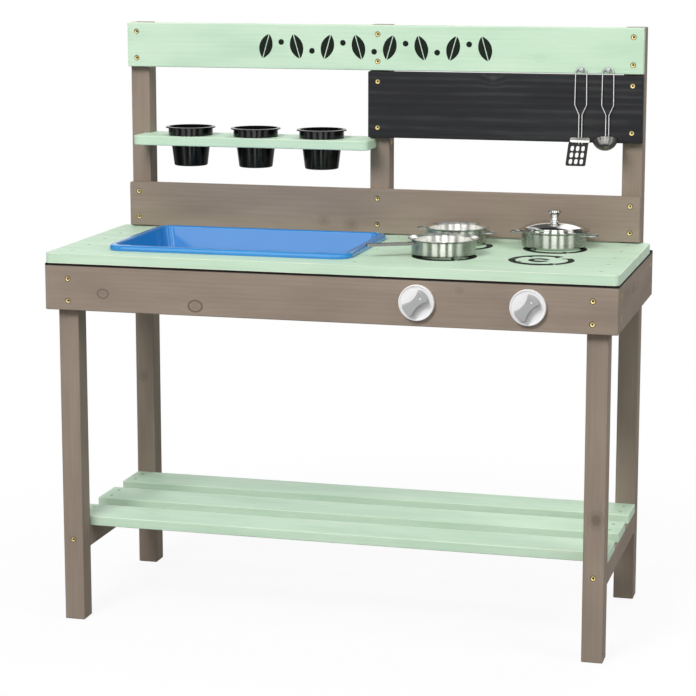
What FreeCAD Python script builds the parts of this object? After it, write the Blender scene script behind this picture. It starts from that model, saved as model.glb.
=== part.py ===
import FreeCAD, Part
import math
import os
import re
import Sketcher
from FreeCAD import Placement, Rotation, Vector

# Driving dimensions in millimetres; names that end in Angle are degrees, in Count plain counts.
SIZES = dict(
    # timber frame; postHigh is how far the rear posts stand above the worktop
    frameLength=1004,
    frameDepth=448,
    postSide=38,
    postHigh=398,
    boardThick=18,
    boardWide=85,
    chalkWide=125,
    timberEase=2,
    boardGap=2,
    workHigh=689,
    # worktop planks and the battens that carry them
    plankCount=5,
    plankEase=0.4,
    plankCorner=10,
    cutCorner=20,
    battenThick=18,
    battenGap=5,
    # lower shelf
    shelfHigh=188,
    slatFrontGap=4,
    slatScrewIn=20,
    # cup shelf between the left and the middle post, above the worktop; wood in front of and behind its holes
    cupShelfHigh=183,
    cupShelfEar=12.5,
    cupShelfCorner=14,
    cupSpacing=132,
    cupMargin=8.7,
    cupBehind=17.7,
    # planting cups: the foot steps in from the body, the collar out from it, and the rim out from the collar
    cupBodyRadius=39.5,
    cupFootIn=7,
    cupCollarOut=3.5,
    cupCollarHigh=14,
    cupRimOut=5.2,
    cupLipThick=2.4,
    cupBodyHigh=59,
    cupWall=1.5,
    cupEase=1.5,
    # tray that hangs in the worktop, at its distances from the left, front and rear edges
    trayLong=459,
    trayOffset=94,
    trayFront=56,
    trayBack=54,
    trayHigh=98,
    trayRimWide=13,
    trayRimHigh=10,
    trayRimEase=6,
    trayLipEase=4,
    trayWall=2.5,
    trayCorner=32,
    trayTaper=20,
    trayFootEase=9,
    # round clearances
    seatGap=0.3,
    weldGap=0.05,
    screwGap=0.1,
    trayGap=1.5,
    cupGap=0.8,
    # wood screws
    screwHead=4.3,
    screwShank=2,
    screwPoint=4,
    screwBoardLong=40,
    screwPlankLong=30,
    screwFrameLong=70,
    crossLong=4.4,
    crossWide=1.1,
    crossDeep=1.6,
    headerScrewSpread=51,
    chalkScrewSpread=87,
    backScrewSpread=50,
    apronScrewSpread=40,
    apronScrewDrop=5,
    apronScrewIn=26,
    sideScrewRear=28,
    sideScrewFront=22,
    legScrewHigh=21,
    # two knobs on the front apron, their middle in from its right end
    knobSpread=195,
    knobCentre=252,
    knobRadius=31.5,
    knobThick=6.5,
    knobRimWide=3,
    knobRimHigh=1.6,
    knobEase=1.2,
    knobLeftAngle=47,
    knobRightAngle=38,
    gripHigh=13.5,
    gripHalf=24,
    gripEndHalf=14.2,
    gripWaistHalf=8.8,
    gripDraftAngle=6,
    gripEase=1.5,
    dotRadius=1.6,
    dotDeep=0.6,
    dotOut=14,
    boltRadius=2.5,
    boltHeadRadius=4.6,
    boltHeadHigh=3.4,
    boltEndLong=3,
    bearingGap=0.05,
    nutAcross=8,
    nutHigh=4,
    washerRadius=6,
    washerThick=1,
    # three pans: X is from the burners' middle, Back in from the worktop's rear edge, Rim out from the wall
    burnerShare=0.45,
    panWall=0.9,
    panFootEase=4,
    panLipHigh=4,
    saucepanRadius=58,
    saucepanRim=5.9,
    saucepanHigh=31,
    saucepanX=-71,
    saucepanBack=248,
    openPotRadius=56,
    openPotRim=5,
    openPotX=-81,
    openPotBack=95,
    lidPotRadius=59.8,
    lidPotRim=5.1,
    potHigh=32,
    lidPotX=103,
    lidPotBack=95,
    # pressed saucepan handle
    handleLong=86,
    handleRoot=15,
    handleTip=10,
    handleHigh=5,
    handleWall=1.2,
    handleUp=20,
    handleHole=2.8,
    handleAngle=209.6,
    # wire ears of the two pots
    earWire=1.5,
    earHalf=14,
    earBend=11.5,
    earReach=24,
    earUp=24.5,
    openEarAngle=163,
    lidEarAngle=170,
    # lid
    lidThick=0.8,
    lidFlange=7,
    lidShoulder=5,
    lidEase=1.2,
    lidDomeHigh=15.5,
    lidSeatRadius=9,
    lidKnobFoot=9.4,
    lidKnobWaist=7.4,
    lidKnobTop=12.7,
    lidKnobHigh=20,
    lidKnobFootHigh=1.5,
    lidKnobWaistHigh=7,
    lidKnobEdge=3.4,
    lidKnobLowCurve=6,
    lidKnobHighCurve=14,
    # hooks, up from the header board's lower edge, and the two hanging tools, in from its right end
    hookHigh=7.5,
    turnerX=114,
    ladleX=64,
    hookHead=4.5,
    hookHeadHigh=2.4,
    hookShank=2,
    hookStand=8,
    hookBury=15,
    wireRadius=1.25,
    hangGap=0.05,
    loopHalf=10.2,
    loopBend=9,
    wireBend=8,
    shoulderHalf=11,
    stemHalf=2.9,
    loopDrop=65,
    neckDrop=83,
    stemDrop=129.5,
    bladeDrop=125,
    bladeThick=1,
    bladeWide=37,
    bladeTab=5,
    bladeStep=18.8,
    stepAngle=73,
    bladeLong=48,
    bladeAngle=40,
    bladeCorner=3.5,
    slotWide=6,
    slotLong=11.5,
    slotFirst=9.5,
    slotAcross=10,
    slotAlong=14.5,
    ladleRadius=23,
    ladleDeep=17,
    ladleThick=1,
    ladleAngle=20,
)

doc = FreeCAD.newDocument("play_kitchen")
sheet = doc.addObject("Spreadsheet::Sheet", "dims")
for row, (alias, value) in enumerate(SIZES.items(), start=1):
    sheet.set("A%d" % row, alias)
    sheet.set("B%d" % row, str(value))
    sheet.setAlias("B%d" % row, alias)
doc.recompute()

# Places that several pieces share, measured from the middle of the part and from the floor.
FRONT = "((seatGap + knobThick + gripHigh - frameDepth) / 2)"
BACK = FRONT + " + frameDepth"
POST_FRONT = FRONT + " + frameDepth - postSide"
LEG_FRONT = FRONT + " + boardThick"
LEG_BACK = FRONT + " + boardThick + postSide"
HALF = "frameLength / 2"
TOP_HALF = "(frameLength / 2 + boardThick)"
APRON_TOP = "workHigh - boardThick"
APRON_LOW = "workHigh - boardThick - boardWide"
POST_TOP = "(workHigh + postHigh)"
HEADER_LOW = POST_TOP + " - boardWide"
CHALK_LOW = HEADER_LOW + " - boardGap - chalkWide"
BACKBOARD_LOW = "workHigh + boardGap"
PLANK = "((frameDepth - postSide) / plankCount)"
POST_MID = "(frameLength / 2 - postSide / 2)"
TRAY_DEEP = "(frameDepth - postSide - trayFront - trayBack)"
TRAY_LEFT = "(trayOffset - " + TOP_HALF + ")"
TRAY_RIGHT = "(" + TRAY_LEFT + " + trayLong)"
TRAY_X = "(" + TRAY_LEFT + " + trayLong / 2)"
TRAY_Y = "(" + FRONT + " + trayFront + " + TRAY_DEEP + " / 2)"
CUT_SIDE = "(trayRimWide - trayWall - trayGap)"
CUT_LEFT = "(" + TRAY_LEFT + " + " + CUT_SIDE + ")"
CUT_RIGHT = "(" + TRAY_RIGHT + " - " + CUT_SIDE + ")"
CUP_SHELF = "(workHigh + cupShelfHigh)"
CUP_IN = "(cupMargin + cupBodyRadius + cupGap)"
CUP_SHELF_DEEP = "(" + CUP_IN + " + cupBodyRadius + cupGap + cupBehind)"
KNOBS_X = "(" + TOP_HALF + " - knobCentre)"
BURNERS_X = "(" + TRAY_RIGHT + " * (1 - burnerShare) + " + TOP_HALF + " * burnerShare)"
SAUCEPAN, OPEN_POT, LID_POT = (("(%s + %sX)" % (BURNERS_X, name), "(%s - %sBack)" % (POST_FRONT, name))
                               for name in ("saucepan", "openPot", "lidPot"))
TURNER_X, LADLE_X = "(%s - turnerX)" % HALF, "(%s - ladleX)" % HALF
HOOK_Z = HEADER_LOW + " + hookHigh"

kept = []


def bound(text):
    """Turns the size names in text into references to the sheet."""
    return re.sub(r"[A-Za-z]\w*", lambda word: "dims." + word.group() if word.group() in SIZES
                  else word.group(), text)


def number(text):
    """The present value of an expression."""
    return float(sheet.evalExpression(bound(text)))


def bind(thing, **properties):
    for name, text in properties.items():
        thing.setExpression(name, bound(text))


def place(thing, x="0", y="0", z="0", axis=Vector(0, 0, 1), angle="0"):
    """Puts an object at a place, turned by a bound angle about an axis."""
    thing.Placement = Placement(Vector(), Rotation(axis, number(angle)))
    for letter, text in zip("xyz", (x, y, z)):
        thing.setExpression("Placement.Base." + letter, bound(text))
    if angle != "0":
        thing.setExpression("Placement.Rotation.Angle", bound(angle))
    return thing


def keep(thing, name):
    """Marks an object as a sub-part that is written out under its label."""
    thing.Label = name
    kept.append(thing)
    return thing


def newBody(name):
    body = doc.addObject("PartDesign::Body", name)
    body.Label = name
    return body


def newSketch(body, role="XY_Plane", height="0"):
    sketch = body.newObject("Sketcher::SketchObject", body.Name + "_sketch")
    plane = next(face for face in body.Origin.OriginFeatures if face.Role == role)
    sketch.AttachmentSupport = (plane, "")
    sketch.MapMode = "FlatFace"
    if height != "0":
        sketch.setExpression("AttachmentOffset.Base.z", bound(height))
    return sketch


def pinOne(sketch, piece, end, kind, axis, text):
    """Holds one coordinate of a sketch point at a bound value, or on the axis for zero."""
    if text == "0":
        sketch.addConstraint(Sketcher.Constraint("PointOnObject", piece, end, axis))
        return
    index = sketch.addConstraint(Sketcher.Constraint(kind, -1, 1, piece, end, number(text)))
    sketch.setExpression("Constraints[%d]" % index, bound(text))


def pin(sketch, piece, end, x, y):
    """Holds a sketch point at a bound place."""
    pinOne(sketch, piece, end, "DistanceX", -2, x)
    pinOne(sketch, piece, end, "DistanceY", -1, y)


def drawOutline(sketch, corners):
    """A closed outline of lines through the corners.

    A third value is the radius of an arc to the next corner. The arc turns left on its way, or
    right where the radius starts with a minus sign. The word half stands for half a circle.
    """
    count, ends = len(corners), []
    for i in range(count):
        x1, y1 = (number(text) for text in corners[i][:2])
        x2, y2 = (number(text) for text in corners[(i + 1) % count][:2])
        first, second = Vector(x1, y1, 0), Vector(x2, y2, 0)
        if len(corners[i]) == 2:
            piece = sketch.addGeometry(Part.LineSegment(first, second))
            ends.append((piece, 1, 2))
            continue
        right = corners[i][2].startswith("-")
        radiusText = corners[i][2].lstrip("-")
        chord = second - first
        radius = chord.Length / 2 if radiusText == "half" else number(radiusText)
        across = Vector(-chord.y, chord.x, 0).normalize()
        rise = math.sqrt(max(radius ** 2 - (chord.Length / 2) ** 2, 0))
        centre = (first + second) / 2 + across * (-rise if right else rise)
        start, stop = (second, first) if right else (first, second)
        angles = [math.atan2(point.y - centre.y, point.x - centre.x) for point in (start, stop)]
        circle = Part.Circle(centre, Vector(0, 0, 1), radius)
        piece = sketch.addGeometry(Part.ArcOfCircle(circle, *angles))
        if radiusText == "half":
            sideways = abs(across.x) > abs(across.y)
            kind, axis, way = ("DistanceX", -2, 0) if sideways else ("DistanceY", -1, 1)
            middle = "(%s + %s) / 2" % (corners[i][way], corners[(i + 1) % count][way])
            pinOne(sketch, piece, 3, kind, axis, middle)
        else:
            index = sketch.addConstraint(Sketcher.Constraint("Radius", piece, radius))
            sketch.setExpression("Constraints[%d]" % index, bound(radiusText))
        ends.append((piece, 2, 1) if right else (piece, 1, 2))
    for i in range(count):
        piece, start, stop = ends[i]
        pin(sketch, piece, start, *corners[i][:2])
        following = ends[(i + 1) % count]
        sketch.addConstraint(Sketcher.Constraint("Coincident", piece, stop, following[0], following[1]))
    return sketch


def drawWire(sketch, corners):
    """An open line whose inner corners, each with its radius, are rounded by tangent arcs."""
    points = [Vector(number(corner[0]), number(corner[1]), 0) for corner in corners]
    lines, arcs, start = [], [], points[0]
    for i in range(1, len(points) - 1):
        corner, radius = points[i], number(corners[i][2])
        back = (points[i - 1] - corner).normalize()
        ahead = (points[i + 1] - corner).normalize()
        half = back.getAngle(ahead) / 2
        centre = corner + (back + ahead).normalize() * radius / math.sin(half)
        before = corner + back * (radius / math.tan(half))
        after = corner + ahead * (radius / math.tan(half))
        left = back.cross(ahead).z < 0
        angles = [math.atan2(point.y - centre.y, point.x - centre.x)
                  for point in ((before, after) if left else (after, before))]
        lines.append(sketch.addGeometry(Part.LineSegment(start, before)))
        arc = sketch.addGeometry(Part.ArcOfCircle(Part.Circle(centre, Vector(0, 0, 1), radius), *angles))
        arcs.append((arc, 1, 2) if left else (arc, 2, 1))
        start = after
    lines.append(sketch.addGeometry(Part.LineSegment(start, points[-1])))
    for i, (arc, first, last) in enumerate(arcs):
        sketch.addConstraint(Sketcher.Constraint("Tangent", lines[i], 2, arc, first))
        sketch.addConstraint(Sketcher.Constraint("Tangent", arc, last, lines[i + 1], 1))
        x, y, radius = corners[i + 1]
        index = sketch.addConstraint(Sketcher.Constraint("Radius", arc, number(radius)))
        sketch.setExpression("Constraints[%d]" % index, bound(radius))
        corner = sketch.addGeometry(Part.Point(points[i + 1]), True)
        pin(sketch, corner, 1, x, y)
        for line in lines[i:i + 2]:
            sketch.addConstraint(Sketcher.Constraint("PointOnObject", corner, 1, line))
    pin(sketch, lines[0], 1, *corners[0])
    pin(sketch, lines[-1], 2, *corners[-1])
    return sketch


def rectangle(x, y):
    """Corners of a rectangle from the origin."""
    return [("0", "0"), (x, "0"), (x, y), ("0", y)]


def roundedRectangle(halfX, halfY, radius):
    """Corners of a rectangle about the origin whose corners are arcs."""
    corners = []
    for signX, signY, alongX in ((1, -1, True), (1, 1, False), (-1, 1, True), (-1, -1, False)):
        x, y = ("-(%s)" % halfX, halfX)[signX > 0], ("-(%s)" % halfY, halfY)[signY > 0]
        inX = "%s %s %s" % (x, "-" if signX > 0 else "+", radius)
        inY = "%s %s %s" % (y, "-" if signY > 0 else "+", radius)
        first, second = ((inX, y), (x, inY)) if alongX else ((x, inY), (inX, y))
        corners += [first + (radius,), second]
    return corners


def addPad(body, sketch, length, **options):
    pad = body.newObject("PartDesign::Pad", body.Name + "_pad")
    pad.Profile = sketch
    bind(pad, Length=length)
    for name, value in options.items():
        setattr(pad, name, value)
    return pad


def addPocket(body, sketch, length=None, **options):
    pocket = body.newObject("PartDesign::Pocket", body.Name + "_pocket")
    pocket.Profile = sketch
    if length is None:
        pocket.Type = "ThroughAll"
    else:
        bind(pocket, Length=length)
    for name, value in options.items():
        setattr(pocket, name, value)
    return pocket


def addRevolution(body, corners):
    """Turns an outline of radius and height about the body's Z axis."""
    sketch = drawOutline(newSketch(body, "XZ_Plane"), corners)
    turned = body.newObject("PartDesign::Revolution", body.Name + "_turned")
    turned.Profile = sketch
    turned.ReferenceAxis = (sketch, ["V_Axis"])
    return turned


def ease(body, feature, radius, wanted=None):
    """Rounds all edges of a feature, or those that the test wanted picks."""
    doc.recompute()
    fillet = body.newObject("PartDesign::Fillet", body.Name + "_ease")
    if wanted is None:
        fillet.Base = (feature, [""])
        fillet.UseAllEdges = True
    else:
        names = ["Edge%d" % (i + 1) for i, edge in enumerate(feature.Shape.Edges) if wanted(edge)]
        fillet.Base = (feature, names)
    bind(fillet, Radius=radius)
    return fillet


def addPipe(body, corners, wire, plane="XZ_Plane", profile="XY_Plane", height="0", across="0"):
    """A round wire along an open line whose first corner lies on the profile's plane."""
    spine = drawWire(newSketch(body, plane), corners)
    ring = newSketch(body, profile, height)
    circle = ring.addGeometry(Part.Circle(Vector(number(across), 0, 0), Vector(0, 0, 1), number(wire)))
    pin(ring, circle, 3, across, "0")
    index = ring.addConstraint(Sketcher.Constraint("Radius", circle, number(wire)))
    ring.setExpression("Constraints[%d]" % index, bound(wire))
    pipe = body.newObject("PartDesign::AdditivePipe", body.Name + "_pipe")
    pipe.Profile = ring
    pipe.Spine = (spine, [""])
    return pipe


def addCircles(sketch, radius, centres):
    for x, y in centres:
        circle = sketch.addGeometry(Part.Circle(Vector(number(x), number(y), 0), Vector(0, 0, 1),
                                                number(radius)))
        pin(sketch, circle, 3, x, y)
        index = sketch.addConstraint(Sketcher.Constraint("Radius", circle, number(radius)))
        sketch.setExpression("Constraints[%d]" % index, bound(radius))
    return sketch


def timber(name, wide, deep, high, x, y, z, rounding="timberEase"):
    """A straight piece of timber with its edges eased, before it is drilled."""
    body = newBody(name + "_blank")
    pad = addPad(body, drawOutline(newSketch(body), rectangle(wide, deep)), high)
    ease(body, pad, rounding)
    return place(body, x, y, z)


def cut(name, base, *tools):
    result = doc.addObject("Part::Cut", name)
    result.Base = base
    if len(tools) > 1:
        group = doc.addObject("Part::Compound", name + "_tools")
        group.Links = list(tools)
        result.Tool = group
    else:
        result.Tool = tools[0]
    return result


# A wood screw points down from its flat head; the drill has the same outline with a clearance.
def screwOutline(length, gap):
    head, shank = "screwHead + " + gap, "screwShank + " + gap
    return [("0", "0"), (head, "0"), (shank, "-(screwHead - screwShank)"),
            (shank, "-(%s - screwPoint)" % length), ("0", "-(%s + %s)" % (length, gap))]


def makeScrew(name, length):
    body = newBody(name)
    addRevolution(body, screwOutline(length, "0"))
    half, thin = "crossLong / 2", "crossWide / 2"
    cross = [(half, "-" + thin), (half, thin), (thin, thin), (thin, half), ("-" + thin, half),
             ("-" + thin, thin), ("-" + half, thin), ("-" + half, "-" + thin), ("-" + thin, "-" + thin),
             ("-" + thin, "-" + half), (thin, "-" + half), (thin, "-" + thin)]
    addPocket(body, drawOutline(newSketch(body), cross), "crossDeep")
    drill = newBody(name + "_drill")
    addRevolution(drill, screwOutline(length, "screwGap"))
    return body, drill


TURNS = {"back": (Vector(1, 0, 0), 90), "front": (Vector(1, 0, 0), -90), "right": (Vector(0, 1, 0), -90),
         "left": (Vector(0, 1, 0), 90), "down": (Vector(0, 0, 1), 0)}


def linked(name, original, places, heading):
    """One object that holds a copy of the original at each place, driven in the heading."""
    copies = []
    for x, y, z in places:
        copy = doc.addObject("App::Link", name + "_copy")
        copy.LinkedObject = original
        axis, angle = TURNS[heading]
        copy.Placement = Placement(Vector(), Rotation(axis, angle))
        for letter, text in zip("xyz", (x, y, z)):
            copy.setExpression("Placement.Base." + letter, bound(text))
        copies.append(copy)
    group = doc.addObject("Part::Compound", name)
    group.Links = copies
    return group


def screwSet(name, kind, sets):
    """Screws of one kind in sets of a heading and places, as one sub-part, and their drills."""
    screws = [linked(name + "_set", kind[0], places, heading) for heading, places in sets]
    drills = [linked(name + "_drills", kind[1], places, heading) for heading, places in sets]
    if len(screws) == 1:
        keep(screws[0], name)
        return drills[0]
    together = []
    for suffix, group in (("", screws), ("_holes", drills)):
        whole = doc.addObject("Part::Compound", name + suffix)
        whole.Links = group
        together.append(whole)
    keep(together[0], name)
    return together[1]


def crossed(xs, y, zs):
    return [(x, y, z) for x in xs for z in zs]


boardScrew = makeScrew("board_screw", "screwBoardLong")
plankScrew = makeScrew("plank_screw", "screwPlankLong")
frameScrew = makeScrew("frame_screw", "screwFrameLong")


def spread(middle, span):
    return ["%s - %s / 2" % (middle, span), "%s + %s / 2" % (middle, span)]


# Screws through the boards into the three rear posts.
POSTS = ["-" + POST_MID, "0", POST_MID]
boardFace = POST_FRONT + " - boardThick"
headerMiddle = HEADER_LOW + " + boardWide / 2"
chalkMiddle = CHALK_LOW + " + chalkWide / 2"
backMiddle = BACKBOARD_LOW + " + boardWide / 2"
rearPlaces = crossed(POSTS, boardFace, spread(headerMiddle, "headerScrewSpread"))
rearPlaces += crossed(POSTS[1:], boardFace, spread(chalkMiddle, "chalkScrewSpread"))
rearPlaces += crossed(POSTS, boardFace, spread(backMiddle, "backScrewSpread"))
rearDrills = screwSet("screws_rear_boards", boardScrew, [("back", rearPlaces)])

# Screws through the four aprons into the legs and posts.
apronMiddle = APRON_TOP + " - boardWide / 2"
apronHeights = spread(apronMiddle + " - apronScrewDrop", "apronScrewSpread")
apronX = "(" + HALF + " - apronScrewIn)"
sideHeights = spread(apronMiddle, "apronScrewSpread")
sideY = [LEG_FRONT + " + sideScrewFront", BACK + " - sideScrewRear"]
rearHeights = spread(apronMiddle, "backScrewSpread")
apronDrills = screwSet("screws_aprons", boardScrew, [
    ("back", crossed(["-" + apronX, apronX], FRONT, apronHeights)
     + crossed(POSTS, boardFace, rearHeights)),
    ("right", [("-" + TOP_HALF, y, z) for y in sideY for z in sideHeights]),
    ("left", [(TOP_HALF, y, z) for y in sideY for z in sideHeights]),
])

# Long screws: legs into the shelf bearers, and posts into the ends of the cup shelf.
cupScrewY = BACK + " - postSide / 2"
cupScrewZ = CUP_SHELF + " - boardThick / 2"
legScrewZ = "shelfHigh - boardThick - postSide + legScrewHigh"
frameDrills = screwSet("screws_frame", frameScrew, [
    ("back", [("-" + POST_MID, LEG_FRONT, legScrewZ), (POST_MID, LEG_FRONT, legScrewZ)]),
    ("front", [("-" + POST_MID, BACK, legScrewZ), (POST_MID, BACK, legScrewZ)]),
    ("right", [("-" + HALF, cupScrewY, cupScrewZ)]),
    ("left", [("postSide / 2", cupScrewY, cupScrewZ)]),
])

# Lower shelf: three slats on two bearers between the legs.
slatStart = LEG_BACK + " + slatFrontGap"
slatPitch = "(frameDepth - 2 * postSide - boardThick - slatFrontGap - boardWide) / 2"
slatPlaces = [slatStart, slatStart + " + " + slatPitch, slatStart + " + 2 * (" + slatPitch + ")"]
slatScrews = [(x, "%s + boardWide / 2 %s slatScrewIn" % (y, sign), "shelfHigh")
              for y in slatPlaces for sign in "+-" for x in ("-" + POST_MID, POST_MID)]
slatDrills = screwSet("screws_shelf", plankScrew, [("down", slatScrews)])


def shelf():
    for name, y in zip(("front", "middle", "rear"), slatPlaces):
        blank = timber("shelf_slat_" + name, "frameLength", "boardWide", "boardThick",
                       "-" + HALF, y, "shelfHigh - boardThick")
        keep(cut("slat", blank, slatDrills), "shelf_slat_" + name)
    bearerLong = "frameDepth - 2 * postSide - boardThick"
    for name, x in (("left", "-" + HALF), ("right", HALF + " - postSide")):
        blank = timber("shelf_bearer_" + name, "postSide", bearerLong, "postSide",
                       x, LEG_BACK, "shelfHigh - boardThick - postSide")
        keep(cut("bearer", blank, slatDrills, frameDrills), "shelf_bearer_" + name)


# Worktop: five planks from front to rear, the middle three cut short on both sides of the tray.
battenY = LEG_BACK
battenLong = "frameDepth - 2 * postSide - 2 * boardThick"
sideScrewX = "(" + HALF + " - postSide / 2)"
middleBatten = CUT_RIGHT + " + battenGap"
middleScrewX = middleBatten + " + postSide / 2"
plankMiddles = ["%s + %s * (%s)" % (FRONT, PLANK, share)
                for share in ("1 / 2", "3 / 2", "5 / 2", "7 / 2", "9 / 2")]
plankPlaces = [(x, y, "workHigh") for y in plankMiddles
               for x in ("-" + sideScrewX, middleScrewX, sideScrewX)]
worktopDrills = screwSet("screws_worktop", plankScrew, [("down", plankPlaces)])


def plankBody(name, corners, x, y, *tools):
    body = newBody(name + "_blank")
    pad = addPad(body, drawOutline(newSketch(body), corners), "boardThick")
    ease(body, pad, "plankEase")
    blank = place(body, x, y, APRON_TOP)
    return keep(cut("plank", blank, worktopDrills, *tools), name)


def worktop():
    # outlines are drawn from the left end and from the worktop's front edge
    full = "2 * " + TOP_HALF
    left, right = TOP_HALF + " + " + CUT_LEFT, TOP_HALF + " + " + CUT_RIGHT
    rearEdge = "(frameDepth - postSide)"
    opening = newBody("tray_opening")
    halfX, halfY = "(trayLong / 2 - %s)" % CUT_SIDE, "(%s / 2 - %s)" % (TRAY_DEEP, CUT_SIDE)
    addPad(opening, drawOutline(newSketch(opening), roundedRectangle(halfX, halfY, "cutCorner")),
           "4 * boardThick", Midplane=True)
    place(opening, TRAY_X, TRAY_Y, "workHigh")
    front = [("plankCorner", "0"), (full + " - plankCorner", "0", "plankCorner"),
             (full, "plankCorner"), (full, PLANK), ("0", PLANK), ("0", "plankCorner", "plankCorner")]
    plankBody("worktop_plank_front", front, "-" + TOP_HALF, FRONT, opening)
    rearFrom = "4 * " + PLANK
    rear = [("0", rearFrom), (full, rearFrom), (full, rearEdge + " - plankCorner", "plankCorner"),
            (full + " - plankCorner", rearEdge), ("plankCorner", rearEdge, "plankCorner"),
            ("0", rearEdge + " - plankCorner")]
    plankBody("worktop_plank_rear", rear, "-" + TOP_HALF, FRONT, opening)
    for i, rank in enumerate(("second", "third", "fourth"), start=1):
        y = "%s + %d * %s" % (FRONT, i, PLANK)
        plankBody("worktop_plank_%s_left" % rank, rectangle(left, PLANK), "-" + TOP_HALF, y)
        plankBody("worktop_plank_%s_right" % rank, rectangle("%s - (%s)" % (full, right), PLANK),
                  CUT_RIGHT, y)
    low = APRON_TOP + " - battenThick"
    for name, x in (("left", "-" + HALF), ("right", HALF + " - postSide")):
        blank = timber("worktop_batten_" + name, "postSide", battenLong, "battenThick", x, battenY, low)
        keep(cut("batten", blank, worktopDrills), "worktop_batten_" + name)
    blank = timber("worktop_batten_middle", "postSide", "frameDepth - postSide - 2 * boardThick",
                   "battenThick", middleBatten, LEG_FRONT, low)
    keep(cut("batten", blank, worktopDrills), "worktop_batten_middle")


def aprons():
    bore = newBody("knob_bores")
    addPad(bore, addCircles(newSketch(bore, "XZ_Plane"), "boltRadius + bearingGap",
                            [(x, apronMiddle) for x in spread(KNOBS_X, "knobSpread")]),
           "4 * boardThick", Midplane=True)
    place(bore, "0", FRONT, "0")
    blank = timber("front_apron", "2 * " + TOP_HALF, "boardThick", "boardWide",
                   "-" + TOP_HALF, FRONT, APRON_LOW)
    keep(cut("apron", blank, apronDrills, bore), "front_apron")
    blank = timber("rear_apron", "frameLength", "boardThick", "boardWide", "-" + HALF, boardFace, APRON_LOW)
    keep(cut("apron", blank, apronDrills), "rear_apron")
    for name, x in (("left", "-" + TOP_HALF), ("right", HALF)):
        blank = timber("side_apron_" + name, "boardThick", "frameDepth - boardThick", "boardWide",
                       x, LEG_FRONT, APRON_LOW)
        keep(cut("apron", blank, apronDrills), "side_apron_" + name)


def uprights():
    for name, x in (("left", "-" + HALF), ("right", HALF + " - postSide")):
        blank = timber("front_leg_" + name, "postSide", "postSide", APRON_TOP, x, LEG_FRONT, "0")
        keep(cut("leg", blank, apronDrills, frameDrills, worktopDrills), "front_leg_" + name)
        blank = timber("rear_post_" + name, "postSide", "postSide", POST_TOP, x, POST_FRONT, "0")
        keep(cut("post", blank, apronDrills, frameDrills, rearDrills), "rear_post_" + name)
    blank = timber("middle_post", "postSide", "postSide", "%s - (%s)" % (POST_TOP, APRON_LOW),
                   "-postSide / 2", POST_FRONT, APRON_LOW)
    keep(cut("post", blank, apronDrills, frameDrills, rearDrills), "middle_post")


def rearBoards():
    chalkLong = HALF + " + postSide / 2"
    for name, long, wide, x, low in (("header_board", "frameLength", "boardWide", "-" + HALF, HEADER_LOW),
                                     ("chalk_board", chalkLong, "chalkWide", "-postSide / 2", CHALK_LOW),
                                     ("backboard", "frameLength", "boardWide", "-" + HALF, BACKBOARD_LOW)):
        blank = timber(name, long, "boardThick", wide, x, boardFace, low)
        keep(cut("board", blank, rearDrills, hookDrills), name)


# The cup shelf reaches in front of the posts with a short ear at each end.
cupShelfSpan = "(frameLength / 2 - 3 * postSide / 2)"
cupCentre = "(-" + cupShelfSpan + " / 2 - postSide / 2)"
cupShelfFront = BACK + " - " + CUP_SHELF_DEEP
CUPS = {"left": cupCentre + " - cupSpacing", "middle": cupCentre, "right": cupCentre + " + cupSpacing"}


def cupShelf():
    body = newBody("cup_shelf_blank")
    span, ear = cupShelfSpan, "cupShelfEar"
    step = CUP_SHELF_DEEP + " - postSide"
    corners = [("0", "0"), (span + " + 2 * cupShelfEar", "0"), (span + " + 2 * cupShelfEar", step),
               (span + " + " + ear, step), (span + " + " + ear, CUP_SHELF_DEEP), (ear, CUP_SHELF_DEEP),
               (ear, step), ("0", step)]
    pad = addPad(body, drawOutline(newSketch(body), corners), "boardThick")
    middle = "%s / 2 + %s" % (span, ear)
    centres = [(middle + " - cupSpacing", CUP_IN), (middle, CUP_IN), (middle + " + cupSpacing", CUP_IN)]
    holes = addCircles(newSketch(body, height="boardThick"), "cupBodyRadius + cupGap", centres)
    addPocket(body, holes)
    doc.recompute()

    def isCorner(edge):
        box = edge.BoundBox
        return box.YMax < number("timberEase") and box.XLength < number("timberEase")

    def isFront(edge):
        box = edge.BoundBox
        flat = edge.Curve.TypeId == "Part::GeomLine" and box.ZLength < number("timberEase")
        ahead = box.YMax < number(step + " + timberEase")
        return flat and ahead and box.YMin < number("cupShelfCorner + timberEase")

    ease(body, body.Tip, "cupShelfCorner", isCorner)
    doc.recompute()
    ease(body, body.Tip, "timberEase", isFront)
    place(body, "-" + HALF + " + postSide - cupShelfEar", cupShelfFront, CUP_SHELF + " - boardThick")
    keep(cut("cup_shelf", body, frameDrills), "cup_shelf")


def cups():
    lip, footEase = "(cupCollarHigh + cupLipThick)", "(cupEase + cupWall)"
    wide, collar = "(cupBodyRadius - cupFootIn)", "(cupBodyRadius + cupCollarOut)"
    rim = "(%s + cupRimOut)" % collar
    foot, footTop = "(%s - cupEase - cupWall)" % wide, "-cupBodyHigh + cupEase + cupWall"
    corners = [("0", "-cupBodyHigh"), (foot, "-cupBodyHigh", footEase), (wide, footTop),
               ("cupBodyRadius", "0"), (collar, "0"), (collar, "cupCollarHigh"), (rim, "cupCollarHigh"),
               (rim, "cupCollarHigh + cupLipThick / 2", "cupLipThick / 2"),
               (rim + " - cupLipThick / 2", lip), (collar + " - cupWall", lip),
               (collar + " - cupWall", "cupWall"), ("cupBodyRadius - cupWall", "cupWall"),
               (wide + " - cupWall", footTop, "-cupEase"), (foot, "-cupBodyHigh + cupWall"),
               ("0", "-cupBodyHigh + cupWall")]
    for name, x in CUPS.items():
        body = newBody("cup_" + name)
        addRevolution(body, corners)
        place(body, x, "%s + %s" % (cupShelfFront, CUP_IN), CUP_SHELF + " + seatGap")
        keep(body, "cup_" + name)


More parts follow.
